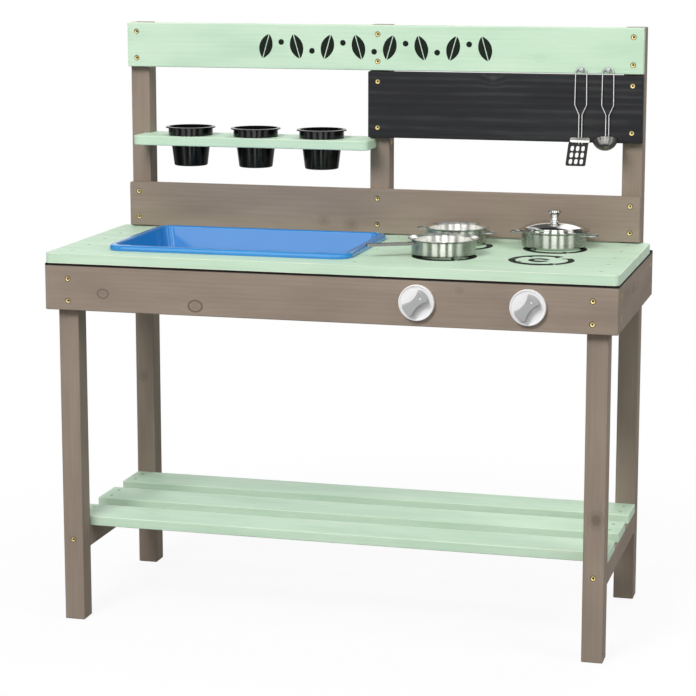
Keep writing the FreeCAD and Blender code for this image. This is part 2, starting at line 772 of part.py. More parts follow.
def tray():
    """A tapered tub whose rolled rim rests on the worktop; its floor hangs below the planks."""
    body = newBody("sink_tray")
    halfX, halfY = "trayLong / 2 - trayRimWide", TRAY_DEEP + " / 2 - trayRimWide"
    corner = "(trayCorner - trayRimWide)"

    def ring(grow, radius):
        return roundedRectangle("(%s + %s)" % (halfX, grow), "(%s + %s)" % (halfY, grow), radius)

    def level(grow, radius, height):
        return drawOutline(newSketch(body, height=height), ring(grow, radius))

    outer = body.newObject("PartDesign::AdditiveLoft", "tray_outside")
    wide = "(%s + trayWall)" % corner
    outer.Profile = level("trayWall", wide, "trayRimHigh")
    outer.Sections = [level("(trayWall - trayTaper)", wide, "-trayHigh")]
    addPad(body, drawOutline(newSketch(body), ring("trayRimWide", "trayCorner")), "trayRimHigh")
    under = drawOutline(newSketch(body), ring("(trayRimWide - trayWall)", "(trayCorner - trayWall)"))
    drawOutline(under, ring("trayWall", wide))
    addPocket(body, under, "trayRimHigh - trayWall", Reversed=True)
    inner = body.newObject("PartDesign::SubtractiveLoft", "tray_inside")
    inner.Profile = level("0", corner, "trayRimHigh")
    inner.Sections = [level("-trayTaper", corner, "-trayHigh + trayWall")]
    doc.recompute()

    def reaches(edge, grow):
        box = edge.BoundBox
        return max(box.XMax, -box.XMin) > number("%s + %s" % (halfX, grow)) \
            or max(box.YMax, -box.YMin) > number("%s + %s" % (halfY, grow))

    def onLevel(edge, height):
        box = edge.BoundBox
        return max(abs(box.ZMin - number(height)), abs(box.ZMax - number(height))) < number("weldGap")

    ease(body, body.Tip, "trayRimEase",
         lambda edge: onLevel(edge, "trayRimHigh") and reaches(edge, "trayRimWide / 2"))
    ease(body, body.Tip, "trayLipEase",
         lambda edge: onLevel(edge, "trayRimHigh") and not reaches(edge, "trayWall"))
    ease(body, body.Tip, "trayFootEase", lambda edge: onLevel(edge, "-trayHigh + trayWall"))
    ease(body, body.Tip, "trayFootEase + trayWall", lambda edge: onLevel(edge, "-trayHigh"))
    place(body, TRAY_X, TRAY_Y, "workHigh + seatGap")
    keep(body, "sink_tray")


def turnSketch(sketch, axis, angle):
    """Turns a sketch in its own frame by a bound angle."""
    sketch.AttachmentOffset = Placement(sketch.AttachmentOffset.Base, Rotation(axis, number(angle)))
    sketch.setExpression("AttachmentOffset.Rotation.Angle", bound(angle))
    return sketch


def knob(side, x, angle):
    """A disc with a wing grip, on a bolt that turns in the apron's bore and is held by a nut behind."""
    y, facing = FRONT + " - seatGap", dict(axis=Vector(1, 0, 0), angle="90")
    bolt, head = "boltRadius", "(boltHeadRadius + weldGap)"
    face = "knobThick"
    disc = newBody("knob_disc_" + side)
    inside, rimTop = "(knobRadius - knobRimWide)", "(knobThick + knobRimHigh)"
    turned = addRevolution(disc, [
        (bolt + " + weldGap", "0"), ("knobRadius", "0"), ("knobRadius", rimTop), (inside, rimTop),
        (inside, face), (head, face), (head, face + " - boltHeadHigh"),
        (bolt + " + weldGap", face + " - boltHeadHigh")])
    ease(disc, turned, "knobEase", lambda edge: edge.BoundBox.ZMin > number(rimTop + " - weldGap")
         or edge.BoundBox.ZMax < number("weldGap") and edge.BoundBox.XMax > number(inside))
    keep(place(disc, x, y, apronMiddle, **facing), "knob_disc_" + side)

    grip = newBody("knob_grip_" + side)
    end = "sqrt(gripHalf^2 - gripEndHalf^2)"
    sag = "(gripEndHalf - gripWaistHalf)"
    flank = "-((%s^2 + %s^2) / (2 * %s))" % (end, sag, sag)
    corners = [("gripEndHalf", end, "gripHalf"), ("-gripEndHalf", end, flank),
               ("-gripEndHalf", "-" + end, "gripHalf"), ("gripEndHalf", "-" + end, flank)]
    clockwise = Vector(0, 0, -1)
    outline = turnSketch(drawOutline(newSketch(grip, height=face), corners), clockwise, angle)
    pad = addPad(grip, outline, "gripHigh")
    bind(pad, TaperAngle="-gripDraftAngle")
    top = number(face + " + gripHigh")
    ease(grip, pad, "gripEase", lambda edge: edge.BoundBox.ZMin > top - number("weldGap"))
    dot = addCircles(newSketch(grip, height=face + " + gripHigh"), "dotRadius", [("0", "dotOut")])
    addPocket(grip, turnSketch(dot, clockwise, angle), "dotDeep")
    keep(place(grip, x, y, apronMiddle, **facing), "knob_grip_" + side)

    shank = newBody("knob_bolt_" + side)
    under = "(%s - boltHeadHigh + weldGap)" % face
    tail = "-(boardThick + seatGap + washerThick + nutHigh + boltEndLong)"
    addRevolution(shank, [("0", tail), (bolt, tail), (bolt, under), ("boltHeadRadius", under),
                          ("boltHeadRadius", face + " - weldGap"), ("0", face + " - weldGap")])
    keep(place(shank, x, y, apronMiddle, **facing), "knob_bolt_" + side)

    nut = doc.addObject("Part::Prism", "nut_blank")
    nut.Polygon = 6
    bind(nut, Circumradius="nutAcross / 2 / cos(30)", Height="nutHigh")
    washer = doc.addObject("Part::Cylinder", "washer_blank")
    bind(washer, Radius="washerRadius", Height="washerThick")
    behind = FRONT + " + boardThick + seatGap"
    place(washer, x, behind + " + washerThick", apronMiddle, **facing)
    place(nut, x, behind + " + washerThick + nutHigh", apronMiddle, **facing)
    bore = doc.addObject("Part::Cylinder", "nut_bore")
    bind(bore, Radius=bolt + " + weldGap", Height="2 * (washerThick + nutHigh)")
    place(bore, x, behind + " + 2 * (washerThick + nutHigh)", apronMiddle, **facing)
    fixing = doc.addObject("Part::Compound", "knob_fixing_" + side)
    fixing.Links = [cut("nut", nut, bore), cut("washer", washer, bore)]
    keep(fixing, "knob_fixing_" + side)


def knobs():
    left, right = spread(KNOBS_X, "knobSpread")
    knob("left", left, "knobLeftAngle")
    knob("right", right, "knobRightAngle")


def panCorners(radius, flare, high):
    """Half section of a pressed pan with a rounded foot and a flared lip."""
    lip, foot, inside = "(%s - panLipHigh)" % high, "(panFootEase + panWall)", radius + " - panWall"
    rim = "(%s + %s)" % (radius, flare)
    return [("0", "0"), (radius + " - " + foot, "0", foot), (radius, foot), (radius, lip),
            (rim, high + " - panWall"), (rim, high), (rim + " - panWall", high), (inside, lip),
            (inside, foot, "-panFootEase"), (radius + " - " + foot, "panWall"), ("0", "panWall")]


def pan(name, radius, flare, high, x, y):
    body = newBody(name)
    addRevolution(body, panCorners(radius, flare, high))
    keep(place(body, x, y, "workHigh + seatGap"), name)


def panWallTool(radius, x, y):
    """The cylinder that a handle or an ear is cut back to, so that its end meets the wall."""
    tool = doc.addObject("Part::Cylinder", "pan_wall")
    bind(tool, Radius=radius + " + weldGap", Height="2 * potHigh")
    return place(tool, x, y, "workHigh")


def ears(name, radius, x, y, angle):
    """Two wire loops, one on each side of a pot."""
    start, far = radius + " - earHalf", radius + " + earReach"
    ear = newBody(name + "_wire")
    addPipe(ear, [(start, "-earHalf"), (far, "-earHalf", "earBend"), (far, "earHalf", "earBend"),
                  (start, "earHalf")],
            "earWire", plane="XY_Plane", profile="YZ_Plane", height=start, across="-earHalf")
    sides = []
    for turn in (angle, angle + " + 180"):
        copy = doc.addObject("App::Link", name + "_copy")
        copy.LinkedObject = ear
        sides.append(place(copy, x, y, "workHigh + seatGap + earUp", angle=turn))
    pair = doc.addObject("Part::Compound", name + "_pair")
    pair.Links = sides
    keep(cut(name, pair, panWallTool(radius, x, y)), name)


def saucepanHandle():
    """A pressed channel, open below, with a hanging hole in its rounded tip."""
    def channel(inset, height):
        start, end = "(saucepanRadius - handleRoot)", "(saucepanRadius + handleLong - handleTip / 2)"
        root, tip = "(handleRoot / 2 - %s)" % inset, "(handleTip / 2 - %s)" % inset
        return drawOutline(newSketch(body, height=height),
                           [(start, "-" + root), (end, "-" + tip, "half"), (end, tip), (start, root)])

    body = newBody("saucepan_handle_blank")
    addPad(body, channel("0", "0"), "handleHigh")
    addPocket(body, channel("handleWall", "0"), "handleHigh - handleWall", Reversed=True)
    tipX = "saucepanRadius + handleLong - handleTip / 2"
    addPocket(body, addCircles(newSketch(body, height="handleHigh"), "handleHole", [(tipX, "0")]))
    place(body, *SAUCEPAN, "workHigh + seatGap + handleUp", angle="handleAngle")
    keep(cut("saucepan_handle", body, panWallTool("saucepanRadius", *SAUCEPAN)), "saucepan_handle")


def lid():
    """A domed lid with a flat flange, and its turned knob."""
    thick, rim = "lidThick", "(lidPotRadius + lidPotRim - panWall - seatGap)"
    base, top, seat = "(%s - lidFlange)" % rim, "lidDomeHigh", "lidSeatRadius"
    low = "(lidShoulder + lidThick)"
    rise, reach = "(%s - %s)" % (top, low), "(%s - %s)" % (base, seat)
    curve = "((%s^2 + %s^2) / (2 * %s))" % (reach, rise, rise)
    innerLow = "(%s - %s + sqrt((%s - %s)^2 - (%s - %s)^2))" % (top, curve, curve, thick, reach, thick)
    body = newBody("lid_dome")
    turned = addRevolution(body, [
        ("0", top), (seat, top, "-" + curve), (base, low), (base, thick), (rim, thick), (rim, "0"),
        (base + " - " + thick, "0"), (base + " - " + thick, innerLow, "(%s - %s)" % (curve, thick)),
        (seat, top + " - " + thick), ("0", top + " - " + thick)])
    ease(body, turned, "lidEase", lambda edge: edge.BoundBox.ZMin > number(low + " - weldGap")
         and edge.BoundBox.ZMax < number(low + " + weldGap"))
    seatZ = "workHigh + 2 * seatGap + potHigh"
    keep(place(body, *LID_POT, seatZ), "lid_dome")
    handle = newBody("lid_knob")
    addRevolution(handle, [
        ("0", "0"), ("lidKnobFoot", "0"), ("lidKnobFoot", "lidKnobFootHigh", "-lidKnobLowCurve"),
        ("lidKnobWaist", "lidKnobWaistHigh", "-lidKnobHighCurve"),
        ("lidKnobTop", "lidKnobHigh - lidKnobEdge"), ("lidKnobTop", "lidKnobHigh"), ("0", "lidKnobHigh")])
    keep(place(handle, *LID_POT, seatZ + " + lidDomeHigh"), "lid_knob")


def pans():
    pan("saucepan_body", "saucepanRadius", "saucepanRim", "saucepanHigh", *SAUCEPAN)
    saucepanHandle()
    pan("open_pot_body", "openPotRadius", "openPotRim", "potHigh", *OPEN_POT)
    ears("open_pot_ears", "openPotRadius", *OPEN_POT, "openEarAngle")
    pan("lidded_pot_body", "lidPotRadius", "lidPotRim", "potHigh", *LID_POT)
    ears("lidded_pot_ears", "lidPotRadius", *LID_POT, "lidEarAngle")
    lid()


# Two headed pins stand out of the header board, and a tool hangs on each by its wire loop.
def makeHook():
    pinBody = newBody("hook_pin")
    addRevolution(pinBody, [
        ("0", "-hookBury"), ("hookShank", "-(hookBury - hookShank)"), ("hookShank", "hookStand"),
        ("hookHead", "hookStand"), ("hookHead", "hookStand + hookHeadHigh / 2"),
        ("hookHead / 2", "hookStand + hookHeadHigh"), ("0", "hookStand + hookHeadHigh")])
    drill = newBody("hook_drill")
    wide, deep = "(hookShank + screwGap)", "-(hookBury + screwGap)"
    addRevolution(drill, [("0", deep), (wide, deep), (wide, "hookStand"), ("0", "hookStand")])
    return pinBody, drill


toolY = boardFace + " - hookStand / 2"
hookDrills = screwSet("utensil_hooks", makeHook(), [
    ("back", [(TURNER_X, boardFace, HOOK_Z), (LADLE_X, boardFace, HOOK_Z)])])


def wireHandle(name, x):
    """A closed wire loop that narrows to a double stem."""
    body = newBody(name)
    right = [("loopHalf", "hookShank + wireRadius + hangGap", "loopBend"),
             ("shoulderHalf", "-loopDrop", "wireBend"), ("stemHalf", "-neckDrop", "wireBend"),
             ("stemHalf", "-stemDrop")]
    left = [("-" + corner[0],) + corner[1:] for corner in right[::-1]]
    addPipe(body, left + right, "wireRadius", height="-stemDrop", across="-stemHalf")
    keep(place(body, x, toolY, HOOK_Z), name)


def below(y, z, before, after):
    """The underside's corner under one of the blade's bends, between two slopes from the vertical."""
    mean, half = "((%s + %s) / 2)" % (before, after), "((%s - %s) / 2)" % (before, after)
    return ("%s + bladeThick * cos(%s) / cos(%s)" % (y, mean, half),
            "%s - bladeThick * sin(%s) / cos(%s)" % (z, mean, half))


def turnerBlade():
    """A slotted blade: a tab in front of the wires, a step forwards and the sloping blade."""
    body = newBody("turner_blade")
    top, front = "-bladeDrop", "-(wireRadius + weldGap + bladeThick)"
    bend = "-(bladeDrop + bladeTab)"
    stepY, stepZ = "(%s - bladeStep * sin(stepAngle))" % front, "(%s - bladeStep * cos(stepAngle))" % bend
    endY = "(%s - bladeLong * sin(bladeAngle))" % stepY
    endZ = "(%s - bladeLong * cos(bladeAngle))" % stepZ
    under = below(endY, endZ, "bladeAngle", "bladeAngle")
    side = [(front, top), (front, bend), (stepY, stepZ), (endY, endZ), under,
            below(stepY, stepZ, "stepAngle", "bladeAngle"), below(front, bend, "0", "stepAngle"),
            below(front, top, "0", "0")]
    pad = addPad(body, drawOutline(newSketch(body, "YZ_Plane"), side), "bladeWide", Midplane=True)
    doc.recompute()
    thick = number("bladeThick")

    def isCorner(edge):
        ends = edge.BoundBox.ZMax > number("-bladeDrop - weldGap") \
            or edge.BoundBox.ZMin < number(under[1]) + thick / 2
        return ends and abs(edge.Length - thick) < thick / 10

    ease(body, pad, "bladeCorner", isCorner)
    sketch = newSketch(body, "XZ_Plane")
    half = "((slotLong - slotWide) / 2)"
    for row in (0, 1, 2):
        for column in (-1, 0, 1):
            left, right = ("%d * slotAcross %s slotWide / 2" % (column, sign) for sign in "-+")
            low, high = ("-(slotFirst + %d * slotAlong) %s %s" % (row, sign, half) for sign in "-+")
            drawOutline(sketch, [(right, low), (right, high, "half"), (left, high), (left, low, "half")])
    turnSketch(sketch, Vector(-1, 0, 0), "bladeAngle")
    sketch.setExpression("AttachmentOffset.Base.y", bound(stepZ))
    sketch.setExpression("AttachmentOffset.Base.z", bound("-" + stepY))
    addPocket(body, sketch, "4 * bladeThick", Midplane=True)
    keep(place(body, TURNER_X, toolY, HOOK_Z), "turner_blade")


def ladleBowl():
    """A round bowl, tipped a little forwards, whose rear rim meets the wires."""
    body = newBody("ladle_bowl")
    ball = "((ladleRadius^2 + ladleDeep^2) / (2 * ladleDeep))"
    inner = "(%s - ladleThick)" % ball
    mouth = "sqrt(%s^2 - (%s - ladleDeep)^2)" % (inner, ball)
    addRevolution(body, [("0", "-ladleDeep", ball), ("ladleRadius", "0"), (mouth, "0", "-" + inner),
                         ("0", "-(ladleDeep - ladleThick)")])
    y = toolY + " - wireRadius - weldGap - ladleRadius * cos(ladleAngle)"
    place(body, LADLE_X, y, HOOK_Z + " - stemDrop + ladleThick", Vector(1, 0, 0), "ladleAngle")
    keep(body, "ladle_bowl")


def tools():
    wireHandle("turner_handle", TURNER_X)
    turnerBlade()
    wireHandle("ladle_handle", LADLE_X)
    ladleBowl()


for build in (shelf, worktop, aprons, uprights, rearBoards, cupShelf, cups, tray, knobs, pans, tools):
    build()
    doc.recompute()

faults = [thing.Label for thing in doc.Objects if "Invalid" in thing.State or "Error" in thing.State]
faults += [thing.Label for thing in kept if thing.Shape.isNull() or not thing.Shape.isValid()]
if faults:
    raise RuntimeError("these did not rebuild: " + ", ".join(faults))
os.makedirs("parts", exist_ok=True)
for thing in kept:
    thing.Shape.exportStep("parts/%s.step" % thing.Label)
    box = thing.Shape.optimalBoundingBox()
    print("%-28s %3d solids %9.1f cm3  X %7.1f %7.1f  Y %7.1f %7.1f  Z %7.1f %7.1f" % (
        thing.Label, len(thing.Shape.Solids), thing.Shape.Volume / 1000,
        box.XMin, box.XMax, box.YMin, box.YMax, box.ZMin, box.ZMax))
print(len(kept), "sub-parts")
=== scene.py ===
import math
import random

import bmesh
import bpy
from mathutils import Matrix, Vector


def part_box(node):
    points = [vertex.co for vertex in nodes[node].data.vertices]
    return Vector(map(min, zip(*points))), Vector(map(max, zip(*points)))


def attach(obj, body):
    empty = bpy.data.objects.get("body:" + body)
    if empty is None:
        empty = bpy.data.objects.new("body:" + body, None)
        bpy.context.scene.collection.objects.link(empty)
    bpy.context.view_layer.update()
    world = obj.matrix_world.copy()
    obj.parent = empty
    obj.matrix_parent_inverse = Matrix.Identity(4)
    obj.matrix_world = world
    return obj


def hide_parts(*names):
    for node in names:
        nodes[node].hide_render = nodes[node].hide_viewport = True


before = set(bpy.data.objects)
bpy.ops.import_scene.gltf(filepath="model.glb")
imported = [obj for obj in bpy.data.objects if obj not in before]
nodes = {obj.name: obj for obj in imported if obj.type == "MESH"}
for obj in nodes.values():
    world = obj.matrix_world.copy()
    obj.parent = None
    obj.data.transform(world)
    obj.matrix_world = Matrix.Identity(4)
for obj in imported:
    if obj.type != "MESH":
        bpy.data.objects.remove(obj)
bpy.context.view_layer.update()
scene = bpy.context.scene
scene.view_settings.view_transform = "Standard"
mm = 0.001
print("frame loaded:", len(nodes), "nodes")

# camera at the photograph's viewing angle, to the right of the middle and above the worktop
photoCamera = {"place": (1.0240, -3.8552, 1.2559), "lookDown": 9.629, "turn": 15.017,
               "lens": 113.45, "shiftY": -0.06}


def makeCamera():
    data = bpy.data.cameras.new("photoCamera")
    data.lens = photoCamera["lens"]
    data.shift_y = photoCamera["shiftY"]
    camera = bpy.data.objects.new("photoCamera", data)
    camera.location = photoCamera["place"]
    camera.rotation_euler = (math.radians(90 - photoCamera["lookDown"]), 0, math.radians(photoCamera["turn"]))
    scene.collection.objects.link(camera)
    scene.camera = camera


makeCamera()
print("camera placed")


# colours, shader nodes and mesh helpers
def colour(text):
    parts = [int(text[i:i + 2], 16) / 255 for i in (1, 3, 5)]
    return [p / 12.92 if p <= 0.04045 else ((p + 0.055) / 1.055) ** 2.4 for p in parts] + [1.0]


def addNode(tree, kind, inputs=None, **settings):
    made = tree.nodes.new("ShaderNode" + kind)
    for name, value in settings.items():
        setattr(made, name, value)
    for key, value in (inputs or {}).items():
        if isinstance(value, bpy.types.Node):
            value = value.outputs[0]
        if isinstance(value, bpy.types.NodeSocket):
            tree.links.new(value, made.inputs[key])
        else:
            made.inputs[key].default_value = value
    return made


def bareMaterial(name):
    material = bpy.data.materials.new(name)
    material.use_nodes = True
    material.node_tree.nodes.clear()
    return material, material.node_tree


def newMaterial(name):
    material, tree = bareMaterial(name)
    shader = addNode(tree, "BsdfPrincipled")
    addNode(tree, "OutputMaterial", {"Surface": shader})
    return material, tree, shader


def dress(tree, shader, tint, roughness, bump):
    for socket, source in (("Base Color", tint), ("Roughness", roughness), ("Normal", bump)):
        tree.links.new(source, shader.inputs[socket])


def rampStops(ramp, stops):
    while len(ramp.color_ramp.elements) < len(stops):
        ramp.color_ramp.elements.new(1.0)
    for element, (place, value) in zip(ramp.color_ramp.elements, stops):
        element.position = place
        element.color = value if isinstance(value, list) else [value, value, value, 1.0]


def setMaterial(thing, material):
    thing.data.materials.clear()
    thing.data.materials.append(material)


def turnAbout(axis, degrees):
    return Matrix.Rotation(math.radians(degrees), 3, axis)


def onlyVerts(made):
    return [item for item in made if isinstance(item, bmesh.types.BMVert)]


def thickenPaint(bm, thick):
    for face in bm.faces:
        if face.normal.z < 0:
            face.normal_flip()
    raised = bmesh.ops.extrude_face_region(bm, geom=bm.faces[:])
    bmesh.ops.translate(bm, vec=(0, 0, thick), verts=onlyVerts(raised["geom"]))


def addShape(bm, shape):
    carrier = bpy.data.meshes.new("carrier")
    shape.to_mesh(carrier)
    shape.free()
    bm.from_mesh(carrier)
    bpy.data.meshes.remove(carrier)


def finishPiece(bm, name, material, body):
    bmesh.ops.recalc_face_normals(bm, faces=bm.faces)
    mesh = bpy.data.meshes.new(name)
    bm.to_mesh(mesh)
    bm.free()
    mesh.shade_flat()
    thing = bpy.data.objects.new(name, mesh)
    scene.collection.objects.link(thing)
    setMaterial(thing, material)
    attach(thing, body)
    return thing


def middleOf(piece):
    low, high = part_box(piece)
    return (low + high) / 2


# stage: white floor, lamps, and a studio of bright and dark panels that only reflections show
stage = {"floorSize": 30.0, "floorDrop": 0.0004, "floorMatt": "#A0A0A0", "floorSeen": "#F4F4F4",
         "shadowShare": 0.1, "shadowFades": (0.5, 1.5), "ambient": 0.42}
lampsAimAt = (0, 0, 0.6)
lamps = [
    {"name": "keyLamp", "place": (-1.0, -3.95, 3.85), "size": 1.8, "power": 195},
    {"name": "sideLamp", "place": (3.7, -1.3, 3.2), "size": 2.0, "power": 60},
    {"name": "backLamp", "place": (0.75, 3.9, 3.6), "size": 2.4, "power": 60},
]
# three rows one above the other, each panel an angle from the camera's side in degrees and a brightness
panels = {
    "lower": [(-180, 0.4), (-128, 0.4), (-100, 0.15), (-90, 0.05), (-62, 0.05), (-58, 0.35), (-48, 0.35),
              (-45, 2.0), (-38, 2.0), (-36, 0.3), (-24, 0.3), (-22, 0.05), (-10, 0.05), (-8, 2.6), (1, 2.6),
              (3, 0.1), (16, 0.08), (18, 1.9), (25, 1.9), (27, 0.35), (52, 0.4), (56, 0.9), (66, 0.8),
              (70, 0.05), (94, 0.05), (100, 0.2), (128, 0.4)],
    "upper": [(-180, 1.0), (-146, 1.0), (-141, 0.15), (-112, 0.05), (-100, 0.6), (-84, 0.05), (-79, 1.9),
              (-66, 1.9), (-62, 0.3), (-52, 0.05), (-46, 0.05), (-43, 2.7), (-26, 2.7), (-24, 0.04),
              (-16, 0.04), (-14, 3.5), (2, 3.5), (4, 0.03), (13, 0.03), (15, 3.2), (26, 3.2), (28, 0.3),
              (38, 0.05), (45, 0.3), (49, 2.0), (62, 1.5), (70, 0.1), (100, 0.1), (141, 0.15), (146, 1.0)],
    "top": [(-180, 0.12), (-173, 0.12), (-168, 2.0), (-142, 2.0), (-136, 0.12), (-100, 0.12), (-79, 1.9),
            (-62, 0.3), (-48, 0.2), (-43, 2.7), (-26, 2.7), (-22, 0.3), (-14, 2.6), (2, 2.6), (8, 0.3),
            (15, 2.4), (26, 2.4), (38, 0.3), (49, 2.0), (62, 1.5), (70, 0.12), (136, 0.12), (142, 2.0),
            (168, 2.0), (173, 0.12)],
}
# where one row blends into the next, as the height of a direction one unit long
rowBlends = [("upper", -0.16, -0.08), ("top", 0.38, 0.46), ("ceiling", 0.84, 0.92)]
ceilingTint = "#484848"


def makeFloor():
    bm = bmesh.new()
    bmesh.ops.create_grid(bm, x_segments=1, y_segments=1, size=stage["floorSize"] / 2)
    bmesh.ops.translate(bm, vec=(0, 0, -stage["floorDrop"]), verts=bm.verts)
    mesh = bpy.data.meshes.new("floor")
    bm.to_mesh(mesh)
    bm.free()
    floor = bpy.data.objects.new("floor", mesh)
    scene.collection.objects.link(floor)
    floor.visible_glossy = False
    material, tree = bareMaterial("whiteStudioFloor")
    rays = addNode(tree, "LightPath").outputs
    seen = addNode(tree, "Math", {0: rays["Is Camera Ray"], 1: rays["Is Transmission Ray"]},
                   operation="MAXIMUM")
    tint = addNode(tree, "Mix", {0: seen, 6: colour(stage["floorMatt"]), 7: colour(stage["floorSeen"])},
                   data_type="RGBA")
    matt = addNode(tree, "BsdfDiffuse", {"Color": tint.outputs[2]})
    white = addNode(tree, "Emission", {"Strength": 1.0})
    # the shadow shows only near the object, so the floor has no visible end
    far = addNode(tree, "VectorMath", {0: addNode(tree, "TexCoord").outputs["Object"]}, operation="LENGTH")
    fadeStart, fadeEnd = stage["shadowFades"]
    shade = addNode(tree, "MapRange", {0: far.outputs["Value"], 1: fadeStart, 2: fadeEnd,
                                       3: 1 - stage["shadowShare"], 4: 1.0}, interpolation_type="SMOOTHSTEP")
    share = addNode(tree, "Math", {0: seen, 1: shade}, operation="MULTIPLY")
    both = addNode(tree, "MixShader", {0: share, 1: matt, 2: white})
    addNode(tree, "OutputMaterial", {"Surface": both})
    setMaterial(floor, material)


def makeRoom():
    world = bpy.data.worlds.new("studio")
    scene.world = world
    world.use_nodes = True
    tree = world.node_tree
    tree.nodes.clear()
    way = addNode(tree, "SeparateXYZ", {0: addNode(tree, "TexCoord").outputs["Generated"]}).outputs
    ahead = addNode(tree, "Math", {0: way[1], 1: -1.0}, operation="MULTIPLY")
    turn = addNode(tree, "Math", {0: way[0], 1: ahead}, operation="ARCTAN2")
    fromCamera = addNode(tree, "Math", {0: turn, 1: math.radians(photoCamera["turn"])}, operation="SUBTRACT")
    share = addNode(tree, "Math", {0: fromCamera, 1: 1 / math.tau, 2: 0.5}, operation="MULTIPLY_ADD")
    around = addNode(tree, "Math", {0: share}, operation="FRACT")
    rows = {"ceiling": colour(ceilingTint)}
    for row, stops in panels.items():
        ramp = addNode(tree, "ValToRGB", {0: around})
        rampStops(ramp, [((angle + 180) / 360, value) for angle, value in stops])
        rows[row] = ramp.outputs[0]
    mirror = rows["lower"]
    for above, low, high in rowBlends:
        height = addNode(tree, "MapRange", {0: way[2], 1: low, 2: high})
        mirror = addNode(tree, "Mix", {0: height, 6: mirror, 7: rows[above]}, data_type="RGBA").outputs[2]
    rays = addNode(tree, "LightPath").outputs
    seen = addNode(tree, "Math", {0: rays["Is Camera Ray"], 1: rays["Is Transmission Ray"]},
                   operation="MAXIMUM")
    even = addNode(tree, "Background", {"Color": colour("#FFFFFF"), "Strength": stage["ambient"]})
    mirrored = addNode(tree, "Background", {"Color": mirror, "Strength": 1.0})
    plain = addNode(tree, "Background", {"Color": colour("#FFFFFF"), "Strength": 1.0})
    inner = addNode(tree, "MixShader", {0: rays["Is Glossy Ray"], 1: even, 2: mirrored})
    outer = addNode(tree, "MixShader", {0: seen, 1: inner, 2: plain})
    addNode(tree, "OutputWorld", {"Surface": outer})


def makeLamps():
    for lamp in lamps:
        data = bpy.data.lights.new(lamp["name"], "AREA")
        data.shape = "SQUARE"
        data.size = lamp["size"]
        data.energy = lamp["power"]
        thing = bpy.data.objects.new(lamp["name"], data)
        thing.location = lamp["place"]
        thing.rotation_euler = (Vector(lampsAimAt) - thing.location).to_track_quat("-Z", "Y").to_euler()
        thing.visible_glossy = False
        scene.collection.objects.link(thing)


makeFloor()
makeRoom()
makeLamps()
print("stage and lamps placed")

# timber: planed softwood boards in three finishes
timberLooks = {
    # water-based stain on pine: even and matt, the grain shows only faintly and the arrises are darker
    "stain": {"name": "stainedPine", "dark": "#83766A", "base": "#918376", "light": "#9C8F81",
              "edge": "#574B42", "edgeWide": 1.3, "edgeShare": 0.6, "ringSpace": 6.5, "ringShare": 0.07,
              "streakShare": 0.26, "blotchShare": 0.7, "roughness": (0.6, 0.78), "gloss": 0.22, "bump": 0.22,
              "knot": "#5C4F46"},
    # satin paint on pine: cloudy, with long paler streaks along the grain and cream edges, partly rubbed wear
    # and partly a painted highlight where the rounded arris catches the light
    "mint": {"name": "paintedPine", "dark": "#B4D2B6", "base": "#C5DFC6", "light": "#D3E7CF",
             "edge": "#F1EFDC", "edgeWide": 1.5, "edgeShare": 0.75, "ringSpace": 8.0, "ringShare": 0.05,
             "streakShare": 0.34, "blotchShare": 0.65, "roughness": (0.36, 0.52), "gloss": 0.3, "bump": 0.18,
             "knot": "#A8C2A4"},
    # blackboard paint: nearly black, with paler waves where the grain shows through
    "black": {"name": "blackboardPaint", "dark": "#232325", "base": "#2B2B2D", "light": "#3A3A3B",
              "edge": "#4A4A49", "edgeWide": 1.0, "edgeShare": 0.4, "ringSpace": 12.0, "ringShare": 0.26,
              "streakShare": 0.4, "blotchShare": 0.8, "roughness": (0.48, 0.66), "gloss": 0.14, "bump": 0.25,
              "knot": "#4C4B48"},
}
# how the boards are cut: pithAlong in metres, the other places in millimetres, tilt in degrees; the first of
# three scales runs along the grain, so a low number there draws the pattern out
grainShape = {"pithAlong": 3, "pithAside": (25, 70), "pithDeep": (30, 80), "tilt": 1.6,
              "heartScale": (0.12, 1, 1), "cloudScale": (4.5, 24, 24), "fibreScale": (6, 300, 300),
              "lateWood": 1.8, "relief": 0.25}
# a knot's pattern in units of its radius, and how far it pushes the rings aside
knotShape = {"alongGrain": 0.8, "reach": 4, "push": 5.0, "ringWide": 0.28, "core": (0.3, 1.1)}
worktopPlanks = ["worktop_plank_front", "worktop_plank_rear"] + [
    "worktop_plank_%s_%s" % (rank, side)
    for rank in ("second", "third", "fourth") for side in ("left", "right")]
timberNodes = {
    "stain": ["front_apron", "rear_apron", "side_apron_left", "side_apron_right", "front_leg_left",
              "front_leg_right", "rear_post_left", "rear_post_right", "middle_post", "backboard",
              "shelf_bearer_left", "shelf_bearer_right", "worktop_batten_left", "worktop_batten_middle",
              "worktop_batten_right"],
    "mint": ["header_board", "cup_shelf", "shelf_slat_front", "shelf_slat_middle", "shelf_slat_rear"]
            + worktopPlanks,
    "black": ["chalk_board"],
}
